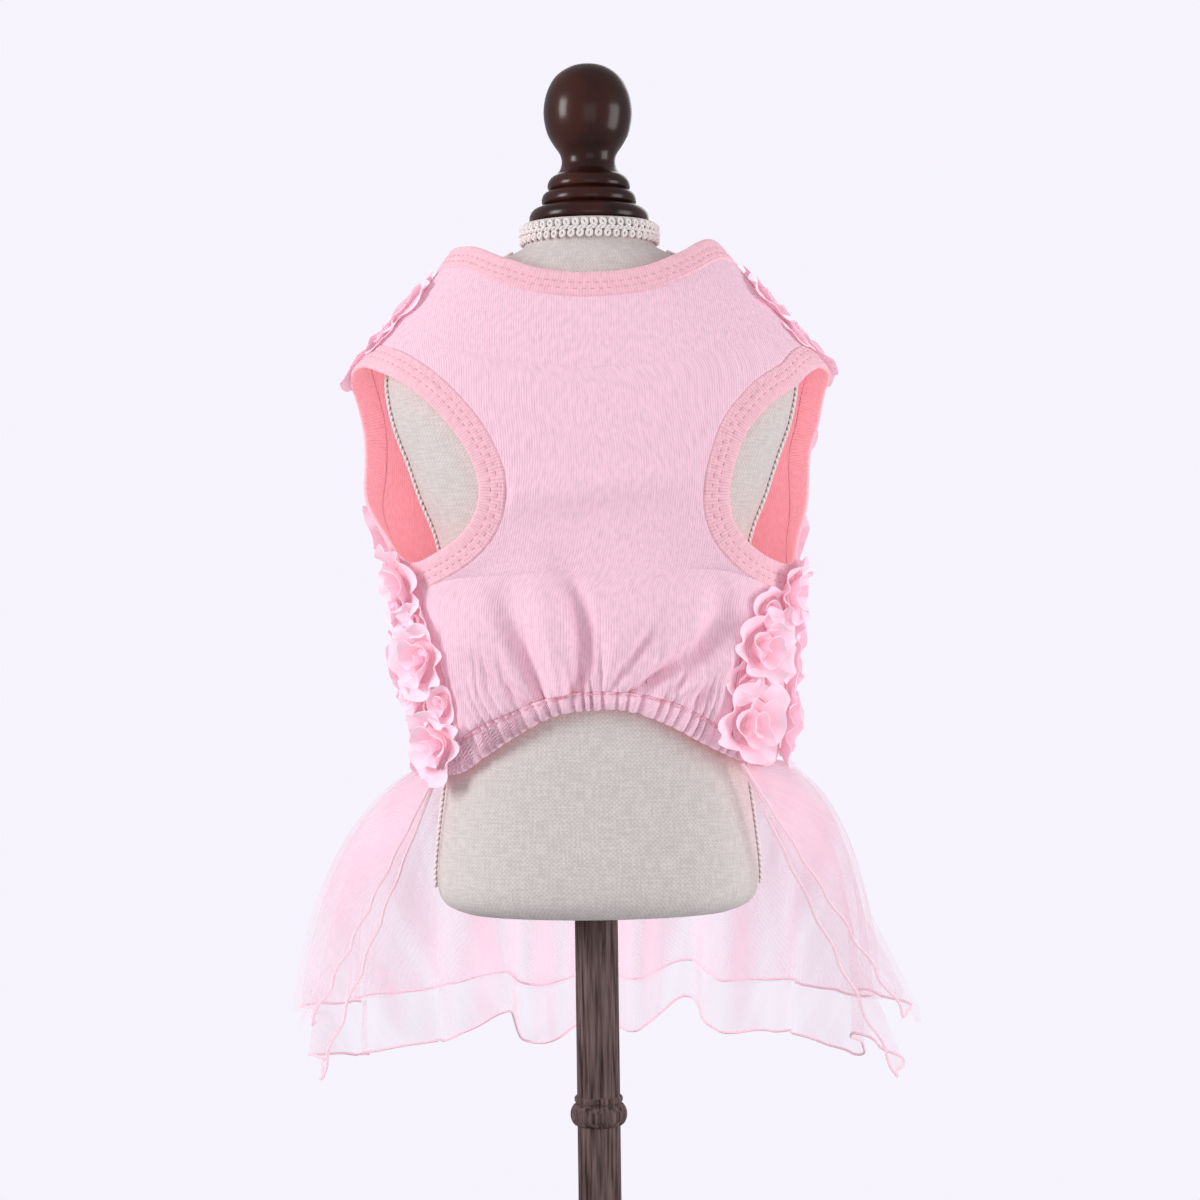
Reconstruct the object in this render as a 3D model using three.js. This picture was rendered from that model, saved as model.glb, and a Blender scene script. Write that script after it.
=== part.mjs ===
// A small dog's dress on a turned-wood tabletop dress form, in millimetres, +Z up.
// The form stands on its base with the origin at the middle of the underside. The dress's belly
// panel faces -Y and its rosette back faces +Y. Angles called turn go round the form in degrees:
// 0 is the middle of the belly (-Y), 90 is +X and 180 is the middle of the back.
import * as THREE from "three";

// ---------------------------------------------------------------- driving dimensions
const JERSEY = 1.4; // thickness of the belly panel
const BACK_CLOTH = 1.5; // thickness of the back panel under its rosettes
const SEAM_GAP = 0.7; // space left between two cut pieces at a seam
const WAIST_GAP = 0.9; // the same under the back panel, where the skirt hangs
const CORNER_GAP = 1.2; // the same round an armhole, where a straight facet cuts the curve
const LEG_BAND_WIDTH = 13;
const NECK_BAND_WIDTH = 12;
const BAND_OUT = 0.6; // how far a band stands proud of the cloth
const BAND_IN = -2; // and how far behind the cloth's outer face it reaches
const SHOULDER_TURN = 78; // both shoulder seams lie this far round
const SIDE_SEAM_TURN = 61; // and both side seams meet their armhole here
const GATHERS = 30; // gathers drawn up by the elastic of the belly hem
const GATHER_DEPTH = 0.8;
const CASING_OUT = 0.9; // the casing is thicker than the panel: how far its faces lie outside
const CASING_IN = -1.8; // and behind the cloth's outer face
const ROSETTE_PITCH = 37; // distance between neighbouring rosettes of a row
const ROSETTE_ROW = 32; // distance between rows
const ROSETTE_RADIUS = 20;
const ROSETTE_HEIGHT = 8.5;
const ROSETTE_MARGIN = 0.035; // share of the panel beside each edge where the rosettes thin out
const ROSETTE_SPIN = 1.9; // each rosette is turned this much more than the one before, in radians
const PETALS = 5;
const PETAL_LOBE = 0.12; // how far a petal reaches past the rosette's radius, as a share of it
const SKIRT_CLOTH = 1;
const SKIRT_STEP = 1.3; // from one skirt layer to the next at the waist seam
const BRAID_THICKNESS = 1.5;
const BRAID_GAP = 0.3;
const POLE_RADIUS = 10.75;
const AXIS_SHIFT = 1.2; // the torso sits this far to +X of the pole

// Sections of the dress, outside of the cloth: half widths to each side, depths to belly and back,
// and how far the back panel bulges sideways behind the armholes.
const DRESS = [
  { z: 300, left: 82, right: 91, front: 50, back: 68, bulge: 0 },
  { z: 320, left: 83, right: 92, front: 51, back: 67, bulge: 0 },
  { z: 345, left: 89, right: 96, front: 52, back: 66, bulge: 0 },
  { z: 370, left: 94.5, right: 97, front: 54, back: 66, bulge: 0 },
  { z: 400, left: 96, right: 100, front: 56, back: 66, bulge: 0 },
  { z: 425, left: 100, right: 103, front: 57.5, back: 66, bulge: 0 },
  { z: 450, left: 108, right: 107, front: 61, back: 65, bulge: 6 },
  { z: 475, left: 114, right: 111.5, front: 61.5, back: 64, bulge: 10 },
  { z: 490, left: 118, right: 118, front: 60, back: 62, bulge: 9 },
  { z: 507, left: 119.5, right: 119, front: 57.5, back: 59, bulge: 4 },
  { z: 516, left: 117, right: 117, front: 55.5, back: 57, bulge: 1 },
  { z: 527, left: 107.5, right: 107.5, front: 53, back: 55, bulge: 0 },
  { z: 543, left: 93.5, right: 94, front: 49, back: 51, bulge: 0 },
  { z: 559, left: 79.5, right: 80.5, front: 44.5, back: 48, bulge: 0 },
  { z: 575, left: 67.5, right: 67, front: 40, back: 45, bulge: 0 },
  { z: 590, left: 56, right: 56, front: 37, back: 42, bulge: 0 },
];

// Top edge of the neck band, and bottom edge of the back panel where the skirt is sewn on.
const NECKLINE = [
  { turn: -180, z: 556 },
  { turn: -150, z: 558 },
  { turn: -120, z: 566 },
  { turn: -98, z: 573 },
  { turn: -82, z: 575.5 },
  { turn: -66, z: 575.5 },
  { turn: -52, z: 574 },
  { turn: -32, z: 567 },
  { turn: -16, z: 561 },
  { turn: 0, z: 558.6 },
  { turn: 18, z: 561 },
  { turn: 38, z: 569 },
  { turn: 55, z: 575.5 },
  { turn: 70, z: 578 },
  { turn: 85, z: 576.5 },
  { turn: 100, z: 573 },
  { turn: 120, z: 566 },
  { turn: 150, z: 558 },
  { turn: 180, z: 556 },
];
const WAIST = [
  { turn: -310, z: 321 },
  { turn: -290, z: 317 },
  { turn: -270, z: 320 },
  { turn: -250, z: 317 },
  { turn: -220, z: 312 },
  { turn: -180, z: 308 },
  { turn: -140, z: 311 },
  { turn: -110, z: 316 },
  { turn: -90, z: 319 },
  { turn: -72, z: 315.4 },
];

// The elastic casing of the belly hem: its bottom edge, then the stitched line at its top.
const HEM = [
  { turn: -72, z: 315.4 },
  { turn: -60, z: 315.6 },
  { turn: -51, z: 317 },
  { turn: -38, z: 325.5 },
  { turn: -25, z: 335.4 },
  { turn: -13, z: 344 },
  { turn: -2, z: 347 },
  { turn: 10, z: 346.5 },
  { turn: 22, z: 339.5 },
  { turn: 36, z: 329 },
  { turn: 50, z: 321 },
];
const CASING_TOP = [
  { turn: -54, z: 330 },
  { turn: -40, z: 339 },
  { turn: -26, z: 346.5 },
  { turn: -15.5, z: 352.3 },
  { turn: -1.6, z: 356 },
  { turn: 12.8, z: 354.6 },
  { turn: 25, z: 349.4 },
  { turn: 37.3, z: 340 },
  { turn: 46, z: 333.6 },
];

// Side seams from the hem up to the armhole.
const LEFT_SEAM = [
  { z: 315.4, turn: -72 },
  { z: 322, turn: -62 },
  { z: 330, turn: -54 },
  { z: 338, turn: -51.6 },
  { z: 355, turn: -50.5 },
  { z: 374.5, turn: -53.7 },
  { z: 391.5, turn: -59.4 },
];
const RIGHT_SEAM = [
  { z: 321, turn: 50 },
  { z: 333.6, turn: 46 },
  { z: 346, turn: 45 },
  { z: 365.3, turn: 47.1 },
  { z: 384.5, turn: 51.9 },
  { z: 396, turn: 57 },
];

// Edges of the leg openings, one loop round each, starting on the belly side.
const LEFT_ARMHOLE = [
  { turn: -53.4, z: 509.3 },
  { turn: -42.6, z: 498.6 },
  { turn: -35.6, z: 485 },
  { turn: -31.1, z: 470 },
  { turn: -29.4, z: 455.6 },
  { turn: -31.9, z: 442.8 },
  { turn: -37.8, z: 432.9 },
  { turn: -47.6, z: 425.1 },
  { turn: -62.3, z: 419.5 },
  { turn: -75, z: 424.5 },
  { turn: -86, z: 436 },
  { turn: -99, z: 453 },
  { turn: -110, z: 470 },
  { turn: -114, z: 488 },
  { turn: -107, z: 504 },
  { turn: -92, z: 514 },
  { turn: -76, z: 517 },
  { turn: -64, z: 514.5 },
];
const RIGHT_ARMHOLE = [
  { turn: 58.7, z: 503.3 },
  { turn: 48.5, z: 494.4 },
  { turn: 43, z: 483.1 },
  { turn: 40.5, z: 468.5 },
  { turn: 39, z: 451.6 },
  { turn: 40.8, z: 439.7 },
  { turn: 45.5, z: 430.2 },
  { turn: 55, z: 421.5 },
  { turn: 70, z: 416.7 },
  { turn: 84, z: 419 },
  { turn: 92, z: 428 },
  { turn: 99, z: 442 },
  { turn: 107, z: 459 },
  { turn: 112, z: 476 },
  { turn: 112, z: 492 },
  { turn: 105, z: 504 },
  { turn: 92, z: 511 },
  { turn: 76, z: 513.5 },
  { turn: 66, z: 510 },
];

// Soft troughs of the belly panel that the elastic sets up: x where each leaves the casing, half way
// and at its end, how far up it reaches, its half width and its depth. A negative depth is a ridge.
const BELLY_FOLDS = [
  { start: -4, middle: -13, end: -26, reach: 82, width: 6, depth: 5 },
  { start: -23, middle: -38, end: -48, reach: 72, width: 6, depth: 4 },
  { start: 20, middle: 50, end: 56, reach: 86, width: 6, depth: 4.2 },
  { start: 8, middle: 18, end: 30, reach: 30, width: 4.5, depth: 2.2 },
  { start: -44, middle: -52, end: -58, reach: 34, width: 5, depth: 2 },
  { start: 46, middle: 58, end: 68, reach: 34, width: 5, depth: 2.4 },
  { start: -14, middle: -24, end: -36, reach: 78, width: 7, depth: -2.6 },
  { start: 12, middle: 26, end: 30, reach: 80, width: 13, depth: -2.6 },
];

// Ruffle folds at the skirt's hem: turn of each crest and trough, how far out of the even cone it
// stands and how far its edge drops.
const RUFFLES = [
  { turn: -274, out: 0, drop: 9 },
  { turn: -264, out: 8, drop: 2 },
  { turn: -254, out: -9, drop: -8 },
  { turn: -243, out: 9, drop: 8 },
  { turn: -231, out: -9, drop: 0 },
  { turn: -219, out: 10, drop: 3 },
  { turn: -207, out: -9, drop: 2 },
  { turn: -198, out: 11, drop: -12 },
  { turn: -189, out: -10, drop: 4 },
  { turn: -179, out: 9, drop: 0 },
  { turn: -171, out: -8, drop: 7 },
  { turn: -164.5, out: 11, drop: 12 },
  { turn: -158, out: -12, drop: -9 },
  { turn: -149, out: 10, drop: 6 },
  { turn: -138, out: -9, drop: 3 },
  { turn: -126, out: 10, drop: 7 },
  { turn: -113, out: -8, drop: 2 },
  { turn: -101, out: 8, drop: -2 },
  { turn: -91, out: -4, drop: -3 },
  { turn: -80, out: 0, drop: 4 },
];

// Skirt layers from the outside in: step out at the waist seam, hem half widths and depth of the even
// cone, height of the hem, and the layer's share of each ruffle.
const SKIRT_LAYERS = [
  {
    name: "skirt_net", lift: SKIRT_STEP, left: 149.5, right: 156, back: 144, hem: 194,
    depth: 0.95, colour: 0xf8dfe6,
  },
  {
    name: "skirt_short_organza", lift: 0, left: 145, right: 151, back: 140, hem: 196,
    depth: 0.97, colour: 0xf6d3dd,
  },
  {
    name: "skirt_long_organza", lift: -SKIRT_STEP, left: 141, right: 146, back: 136, hem: 168,
    depth: 1, colour: 0xf5c9d6,
  },
];
const SKIRT_WAIST = { from: -308, to: -73 }; // turns of the two front edges at the waist seam
const SKIRT_HEM = { from: -272, to: -82 }; // and at the hem
const SKIRT_SPREAD = 0.6; // how soon a layer springs out below the waist
const SKIRT_FRONT = 0.12; // share of a layer beside each front edge that hangs straighter
const RUFFLE_START = 0.12; // share of a ruffle's depth already there at the waist

// The linen-covered torso: half width, and depth to the front and back.
const NECK = { width: 33, front: 32, back: 32 };
const TORSO = [
  { z: 245, width: 66, front: 42, back: 43 },
  { z: 248, width: 74, front: 48, back: 49 },
  { z: 254, width: 79, front: 52.5, back: 54 },
  { z: 264, width: 80.3, front: 54, back: 56 },
  { z: 284, width: 78.5, front: 53, back: 56 },
  { z: 316, width: 74.5, front: 50, back: 52 },
  { z: 345, width: 71.3, front: 47, back: 48 },
  { z: 375, width: 70.5, front: 47, back: 45 },
  { z: 405, width: 73, front: 51, back: 46 },
  { z: 432, width: 77.8, front: 55.5, back: 48 },
  { z: 452, width: 85.5, front: 58.6, back: 50 },
  { z: 470, width: 91.5, front: 59.2, back: 52 },
  { z: 488, width: 98, front: 57, back: 54 },
  { z: 507, width: 101.5, front: 53, back: 54 },
  { z: 520, width: 100.3, front: 49.5, back: 52 },
  { z: 532, width: 96, front: 46.5, back: 49 },
  { z: 541, width: 89.5, front: 44, back: 46 },
  { z: 550, width: 78, front: 41.5, back: 43.5 },
  { z: 559, width: 63.5, front: 38.5, back: 40.5 },
  { z: 567, width: 49, front: 35.5, back: 37 },
  { z: 572, width: 40, front: 33.5, back: 34.5 },
  { z: 576, ...NECK },
  { z: 587.5, ...NECK },
];
const SIDE_BRAID_WIDTH = 4.5;
const SIDE_BRAID_FROM = 264;
const SIDE_BRAID_TO = 572;
const NECK_BRAID_FROM = 577;
const NECK_BRAID_TO = 587;

// Turned wood, radius at each height from the bottom up.
const BASE_PROFILE = [
  { r: 92, z: 0 },
  { r: 95, z: 3 },
  { r: 95, z: 9 },
  { r: 90, z: 14 },
  { r: 70, z: 17 },
  { r: 34, z: 19.5 },
  { r: 22, z: 24 },
];
const POLE_PROFILE = [
  { r: POLE_RADIUS, z: 24.3 },
  { r: POLE_RADIUS, z: 138 },
  { r: 13, z: 139.5 },
  { r: 14.2, z: 143.5 },
  { r: 13, z: 147.5 },
  { r: 11.2, z: 149 },
  { r: 12.2, z: 151 },
  { r: POLE_RADIUS, z: 153 },
  { r: POLE_RADIUS, z: 244.7 },
];
const FINIAL_PROFILE = [
  { r: 29.3, z: 587.8 },
  { r: 29.9, z: 590 },
  { r: 28.3, z: 594.5 },
  { r: 22, z: 597.5 },
  { r: 23.4, z: 600 },
  { r: 22.4, z: 603 },
  { r: 19.2, z: 604.5 },
  { r: 20.7, z: 607 },
  { r: 19, z: 611.5 },
  { r: 14, z: 616.5 },
  { r: 13.5, z: 620 },
  { r: 16.2, z: 625 },
  { r: 19.7, z: 631 },
  { r: 22.1, z: 642 },
  { r: 21.3, z: 651 },
  { r: 17.6, z: 660 },
  { r: 10.5, z: 666 },
];
const FINIAL_TOP = 668;

// Mesh densities.
const BELLY_COLUMNS = 24;
const BELLY_ROWS = { seam: 7, armhole: 12, shoulder: 3 }; // rows beside each stretch of its side edges
const BACK_COLUMNS = 44;
const BACK_ROWS = { seam: 12, armhole: 18, shoulder: 6 };
const CASING_GRID_ROWS = 2;
const SKIRT_GRID = { columns: 70, rows: 4 };
const BACK_INNER_STEP = 2; // the plain inside of the back panel is this much coarser
const COLUMNS_A_GATHER = 4;
const TORSO_SIDES = 28;
const LEG_BAND_STEPS = 44;
const NECK_BAND_STEPS = 48;

// ---------------------------------------------------------------- plain mathematics
const radians = THREE.MathUtils.degToRad;
const lerp = THREE.MathUtils.lerp;
const clamp = THREE.MathUtils.clamp;
const smoothstep = THREE.MathUtils.smoothstep;

// A smooth curve through one column of a table, as a function of another column that ascends.
function curveOf(rows, along, column) {
  const slope = rows.map((row, i) => {
    const before = rows[Math.max(i - 1, 0)];
    const after = rows[Math.min(i + 1, rows.length - 1)];
    return (after[column] - before[column]) / (after[along] - before[along]);
  });
  return (value) => {
    const x = clamp(value, rows[0][along], rows[rows.length - 1][along]);
    const i = clamp(rows.findIndex((row) => row[along] >= x), 1, rows.length - 1);
    const [a, b] = [rows[i - 1], rows[i]];
    const span = b[along] - a[along];
    const t = (x - a[along]) / span;
    const [t2, t3] = [t * t, t * t * t];
    return (
      (2 * t3 - 3 * t2 + 1) * a[column] +
      (t3 - 2 * t2 + t) * span * slope[i - 1] +
      (3 * t2 - 2 * t3) * b[column] +
      (t3 - t2) * span * slope[i]
    );
  };
}

// A closed smooth loop through a table of turns and heights, for a share from 0 to 1.
function loopOf(rows) {
  const curve = new THREE.CatmullRomCurve3(
    rows.map((row) => new THREE.Vector3(row.turn, row.z, 0)),
    true,
    "centripetal",
  );
  return (share) => {
    const p = curve.getPoint(((share % 1) + 1) % 1);
    return { turn: p.x, z: p.y };
  };
}

const signedVolume = (points, faces) =>
  faces.reduce((sum, [a, b, c]) => sum + points[a].dot(points[b].clone().cross(points[c])) / 6, 0);

// A closed solid from points and triangles, turned so that its faces look outward.
function solid(points, faces) {
  const outward = signedVolume(points, faces) > 0;
  const geometry = new THREE.BufferGeometry().setFromPoints(points);
  geometry.setIndex(faces.flatMap(([a, b, c]) => (outward ? [a, b, c] : [a, c, b])));
  geometry.computeVertexNormals();
  return geometry;
}

// ---------------------------------------------------------------- meshes
// Triangles of a grid of points stored row by row, starting at index first.
function gridFaces(columns, rows, first, flip) {
  const faces = [];
  for (let j = 0; j < rows; j++)
    for (let i = 0; i < columns; i++) {
      const a = first + j * (columns + 1) + i;
      const [b, c, d] = [a + 1, a + columns + 2, a + columns + 1];
      faces.push(...(flip ? [[a, c, b], [a, d, c]] : [[a, b, c], [a, c, d]]));
    }
  return faces;
}

// Indices round the edge of such a grid.
function gridEdge(columns, rows, first) {
  const at = (i, j) => first + j * (columns + 1) + i;
  const edge = [];
  for (let i = 0; i < columns; i++) edge.push(at(i, 0));
  for (let j = 0; j < rows; j++) edge.push(at(columns, j));
  for (let i = columns; i > 0; i--) edge.push(at(i, rows));
  for (let j = rows; j > 0; j--) edge.push(at(0, j));
  return edge;
}

// A cloth wall: an outer face of columns by rows, an inner face step times as coarse, and the cut
// edge between them. Both faces are functions of shares u and v from 0 to 1.
function wall({ columns, rows }, outer, inner, step = 1) {
  const points = [];
  const addGrid = (nu, nv, face) => {
    const first = points.length;
    for (let j = 0; j <= nv; j++) for (let i = 0; i <= nu; i++) points.push(face(i / nu, j / nv));
    return first;
  };
  const [innerColumns, innerRows] = [columns / step, rows / step];
  const outerFirst = addGrid(columns, rows, outer);
  const innerFirst = addGrid(innerColumns, innerRows, inner);
  const faces = [
    ...gridFaces(columns, rows, outerFirst, false),
    ...gridFaces(innerColumns, innerRows, innerFirst, true),
  ];
  const outerEdge = gridEdge(columns, rows, outerFirst);
  const innerEdge = gridEdge(innerColumns, innerRows, innerFirst);
  innerEdge.forEach((here, k) => {
    const next = innerEdge[(k + 1) % innerEdge.length];
    const turnover = Math.ceil(step / 2);
    for (let m = 0; m < step; m++) {
      const a = outerEdge[k * step + m];
      const b = outerEdge[(k * step + m + 1) % outerEdge.length];
      faces.push([b, a, m < turnover ? here : next]);
      if (m === turnover - 1) faces.push([b, here, next]);
    }
  });
  return solid(points, faces);
}

// A closed hoop whose section, a list of points, is a function of the share of the way round.
function hoop(steps, section) {
  const rings = Array.from({ length: steps }, (_, i) => section(i / steps));
  const sides = rings[0].length;
  const faces = [];
  for (let i = 0; i < steps; i++)
    for (let k = 0; k < sides; k++) {
      const [a, b] = [i * sides + k, i * sides + ((k + 1) % sides)];
      const next = ((i + 1) % steps) * sides;
      const [c, d] = [next + ((k + 1) % sides), next + k];
      faces.push([a, b, c], [a, c, d]);
    }
  return solid(rings.flat(), faces);
}

// A solid through a stack of rings, closed at both ends.
function loft(rings) {
  const sides = rings[0].length;
  const points = rings.flat();
  const middle = (ring) => ring.reduce((sum, p) => sum.add(p), new THREE.Vector3()).divideScalar(sides);
  const [low, high] = [points.length, points.length + 1];
  points.push(middle(rings[0]), middle(rings[rings.length - 1]));
  const faces = [];
  const last = (rings.length - 1) * sides;
  for (let k = 0; k < sides; k++) {
    const next = (k + 1) % sides;
    faces.push([low, next, k], [high, last + k, last + next]);
    for (let j = 0; j < rings.length - 1; j++) {
      const [a, b] = [j * sides + k, j * sides + next];
      faces.push([a, b, b + sides], [a, b + sides, a + sides]);
    }
  }
  return solid(points, faces);
}

// ---------------------------------------------------------------- the dress's surface
const dress = {
  left: curveOf(DRESS, "z", "left"),
  right: curveOf(DRESS, "z", "right"),
  front: curveOf(DRESS, "z", "front"),
  back: curveOf(DRESS, "z", "back"),
  bulge: curveOf(DRESS, "z", "bulge"),
};

// A point of the dress's outside at a turn and height.
function dressPoint(turn, z) {
  const [sine, cosine] = [Math.sin(radians(turn)), Math.cos(radians(turn))];
  const behind = smoothstep(-cosine, -0.5, 0.2);
  const side = (sine < 0 ? dress.left(z) : dress.right(z)) + dress.bulge(z) * behind;
  const depth = cosine > 0 ? dress.front(z) : dress.back(z);
  return new THREE.Vector3(side * sine, -depth * cosine, z);
}

// The two directions that lie in the surface there: per degree of turn, and per millimetre of height.
function dressTangents(turn, z) {
  const small = 0.25;
  const byTurn = dressPoint(turn + small, z).sub(dressPoint(turn - small, z)).divideScalar(2 * small);
  const byHeight = dressPoint(turn, z + small).sub(dressPoint(turn, z - small)).divideScalar(2 * small);
  return { byTurn, byHeight };
}

function dressNormal(turn, z) {
  const { byTurn, byHeight } = dressTangents(turn, z);
  return byTurn.cross(byHeight).normalize();
}

// The surface moved out by lift.
const onDress = (turn, z, lift) => dressPoint(turn, z).addScaledVector(dressNormal(turn, z), lift);

// A place on the surface, moved by a given vector that lies in it.
function slide({ turn, z }, move) {
  const { byTurn, byHeight } = dressTangents(turn, z);
  const [aa, ab, bb] = [byTurn.dot(byTurn), byTurn.dot(byHeight), byHeight.dot(byHeight)];
  const [am, bm] = [byTurn.dot(move), byHeight.dot(move)];
  const det = aa * bb - ab * ab;
  return { turn: turn + (am * bb - bm * ab) / det, z: z + (bm * aa - am * ab) / det };
}

// An edge moved across itself by a distance on the surface. side is 1 to its left as seen from outside.
function offsetEdge(edge, distance, side) {
  const hops = 4;
  const small = 0.004;
  return (share) => {
    const [before, after] = [edge(share - small), edge(share + small)];
    const run = dressPoint(after.turn, after.z).sub(dressPoint(before.turn, before.z));
    let place = edge(share);
    for (let hop = 0; hop < hops; hop++) {
      const across = dressNormal(place.turn, place.z).cross(run).normalize();
      place = slide(place, across.multiplyScalar((side * distance) / hops));
    }
    return place;
  };
}

// ---------------------------------------------------------------- edges of the cut pieces
const necklineHeight = curveOf(NECKLINE, "turn", "z");
const casingTopHeight = curveOf(CASING_TOP, "turn", "z");
const hemHeight = curveOf(HEM, "turn", "z");
const waistHeight = curveOf(WAIST, "turn", "z");

// The neckline as an edge, once round from the middle of the back.
const neckline = (share) => {
  const turn = (((share % 1) + 1) % 1) * 360 - 180;
  return { turn, z: necklineHeight(turn) };
};
const neckSeam = offsetEdge(neckline, NECK_BAND_WIDTH + SEAM_GAP, -1);
const NECK_SAMPLES = 180;
const neckSeamRows = Array.from({ length: NECK_SAMPLES + 1 }, (_, i) => {
  const place = neckSeam((i + 0.5) / (NECK_SAMPLES + 1));
  return { turn: place.turn, z: place.z };
});
const neckSeamCurve = curveOf(neckSeamRows, "turn", "z");
const wrapTurn = (turn) => turn - 360 * Math.round(turn / 360);
const neckSeamHeight = (turn) => neckSeamCurve(wrapTurn(turn));

// An armhole: its opening's edge, and the two ways round its seam from the side seam to the shoulder.
function armhole(rows, side, seamTurn) {
  const edge = loopOf(rows);
  const cut = offsetEdge(edge, LEG_BAND_WIDTH + CORNER_GAP, side);
  const samples = 160;
  const places = Array.from({ length: samples }, (_, i) => cut(i / samples));
  const lowest = (cost) => places.reduce((best, p, i) => (cost(p) < cost(places[best]) ? i : best), 0);
  const middle = places.reduce((sum, p) => sum + p.z, 0) / samples;
  const low = lowest((p) => (p.z < middle ? Math.abs(p.turn - seamTurn) : Infinity));
  const high = lowest((p) => -p.z);
  const walk = (direction) => {
    const way = [places[low]];
    for (let i = low; i !== high; ) {
      i = (i + direction + samples) % samples;
      way.push(places[i]);
    }
    return way;
  };
  const [one, other] = [walk(1), walk(-1)];
  const reach = (way) => Math.min(...way.map((p) => Math.abs(p.turn)));
  const [belly, back] = reach(one) < reach(other) ? [one, other] : [other, one];
  return { edge, belly, back };
}
const leftArmhole = armhole(LEFT_ARMHOLE, 1, -SIDE_SEAM_TURN);
const rightArmhole = armhole(RIGHT_ARMHOLE, -1, SIDE_SEAM_TURN);
const leftSeam = curveOf([...LEFT_SEAM, leftArmhole.belly[0]], "z", "turn");
const rightSeam = curveOf([...RIGHT_SEAM, rightArmhole.belly[0]], "z", "turn");

// Places evenly spaced along a run of them, as a function of the share of its length.
function alongPlaces(places) {
  const lengths = [0];
  for (let i = 1; i < places.length; i++) {
    const [a, b] = [places[i - 1], places[i]];
    lengths.push(lengths[i - 1] + dressPoint(a.turn, a.z).distanceTo(dressPoint(b.turn, b.z)));
  }
  const total = lengths[lengths.length - 1];
  const at = (share) => {
    const target = share * total;
    const i = clamp(lengths.findIndex((length) => length >= target), 1, lengths.length - 1);
    const t = (target - lengths[i - 1]) / (lengths[i] - lengths[i - 1] || 1);
    const [a, b] = [places[i - 1], places[i]];
    return { turn: lerp(a.turn, b.turn, t), z: lerp(a.z, b.z, t) };
  };
  return { at, total };
}

// A stretch of a side seam, from one height to another.
function seamPlaces(seam, from, to) {
  const steps = 16;
  return Array.from({ length: steps + 1 }, (_, i) => {
    const z = lerp(from, to, i / steps);
    return { turn: seam(z), z };
  });
}

// Where the shoulder seam runs, from the top of an armhole to the neck.
function shoulderPlaces(top, shoulderTurn) {
  const steps = 12;
  const neck = neckSeamHeight(shoulderTurn);
  return Array.from({ length: steps + 1 }, (_, i) => {
    const share = i / steps;
    return { turn: lerp(top.turn, shoulderTurn, Math.min(1, share * 2)), z: lerp(top.z, neck, share) };
  });
}

// A piece's side edge, moved in from the seam line so that the piece is clear of its neighbour.
function sideEdge(places, inset) {
  const moved = places.map(({ turn, z }) => {
    const { byTurn } = dressTangents(turn, z);
    return { turn: turn + inset / byTurn.length(), z };
  });
  return alongPlaces(moved).at;
}

const sumOf = (rows) => Object.values(rows).reduce((sum, count) => sum + count, 0);

// The side edge of a panel: up the side seam, round its armhole and along the shoulder seam, with a
// number of the panel's rows beside each stretch so that its corners fall on a row.
function panelEdge(rows, seam, from, armholeWay, shoulderTurn, inset) {
  const top = armholeWay[armholeWay.length - 1];
  const stretches = [
    { count: rows.seam, at: sideEdge(seamPlaces(seam, from, armholeWay[0].z), inset) },
    { count: rows.armhole, at: sideEdge(armholeWay, inset) },
    { count: rows.shoulder, at: sideEdge(shoulderPlaces(top, shoulderTurn), inset) },
  ];
  return (share) => {
    let row = share * sumOf(rows);
    for (const { count, at } of stretches.slice(0, -1)) {
      if (row <= count) return at(row / count);
      row -= count;
    }
    return stretches[stretches.length - 1].at(row / rows.shoulder);
  };
}

// A four-sided panel between two side edges, a bottom and a top given as heights over turn.
function panelPlace(leftEdge, rightEdge, bottom, top) {
  const corners = [leftEdge(0), rightEdge(0), leftEdge(1), rightEdge(1)];
  return (u, v) => {
    const [l, r] = [leftEdge(v), rightEdge(v)];
    const bend = (curve, a, b) => curve(lerp(a.turn, b.turn, u)) - lerp(a.z, b.z, u);
    const low = bend(bottom, corners[0], corners[1]) * (1 - v);
    const high = bend(top, corners[2], corners[3]) * v;
    return { turn: lerp(l.turn, r.turn, u), z: lerp(l.z, r.z, u) + low + high };
  };
}

// ---------------------------------------------------------------- the dress's pieces
// How far the belly panel stands off the even surface because of its folds.
function bellyRelief(turn, z) {
  const x = dressPoint(turn, z).x;
  const rise = z - casingTopHeight(turn);
  return -BELLY_FOLDS.reduce((sum, fold) => {
    const t = clamp(rise / fold.reach, 0, 1);
    const line = (1 - t) * (1 - t) * fold.start + 2 * t * (1 - t) * fold.middle + t * t * fold.end;
    const width = fold.width * lerp(0.6, 1.4, t);
    const across = Math.exp(-(((x - line) / width) ** 2));
    return sum + fold.depth * across * Math.sin(Math.PI * lerp(0.22, 1, t));
  }, 0);
}

function bellyPanel() {
  const [leftFrom, rightFrom] = [CASING_TOP[0].z, CASING_TOP[CASING_TOP.length - 1].z];
  const inset = SEAM_GAP / 2;
  const [leftWay, rightWay] = [leftArmhole.belly, rightArmhole.belly];
  const left = panelEdge(BELLY_ROWS, leftSeam, leftFrom + SEAM_GAP, leftWay, -SHOULDER_TURN, inset);
  const right = panelEdge(BELLY_ROWS, rightSeam, rightFrom + SEAM_GAP, rightWay, SHOULDER_TURN, -inset);
  const place = panelPlace(left, right, (turn) => casingTopHeight(turn) + SEAM_GAP, neckSeamHeight);
  const face = (lift) => (u, v) => {
    const { turn, z } = place(u, v);
    const edgeFade = smoothstep(Math.min(u, 1 - u), 0, 0.12);
    return onDress(turn, z, lift + bellyRelief(turn, z) * edgeFade);
  };
  return wall({ columns: BELLY_COLUMNS, rows: sumOf(BELLY_ROWS) }, face(0), face(-JERSEY));
}

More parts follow.
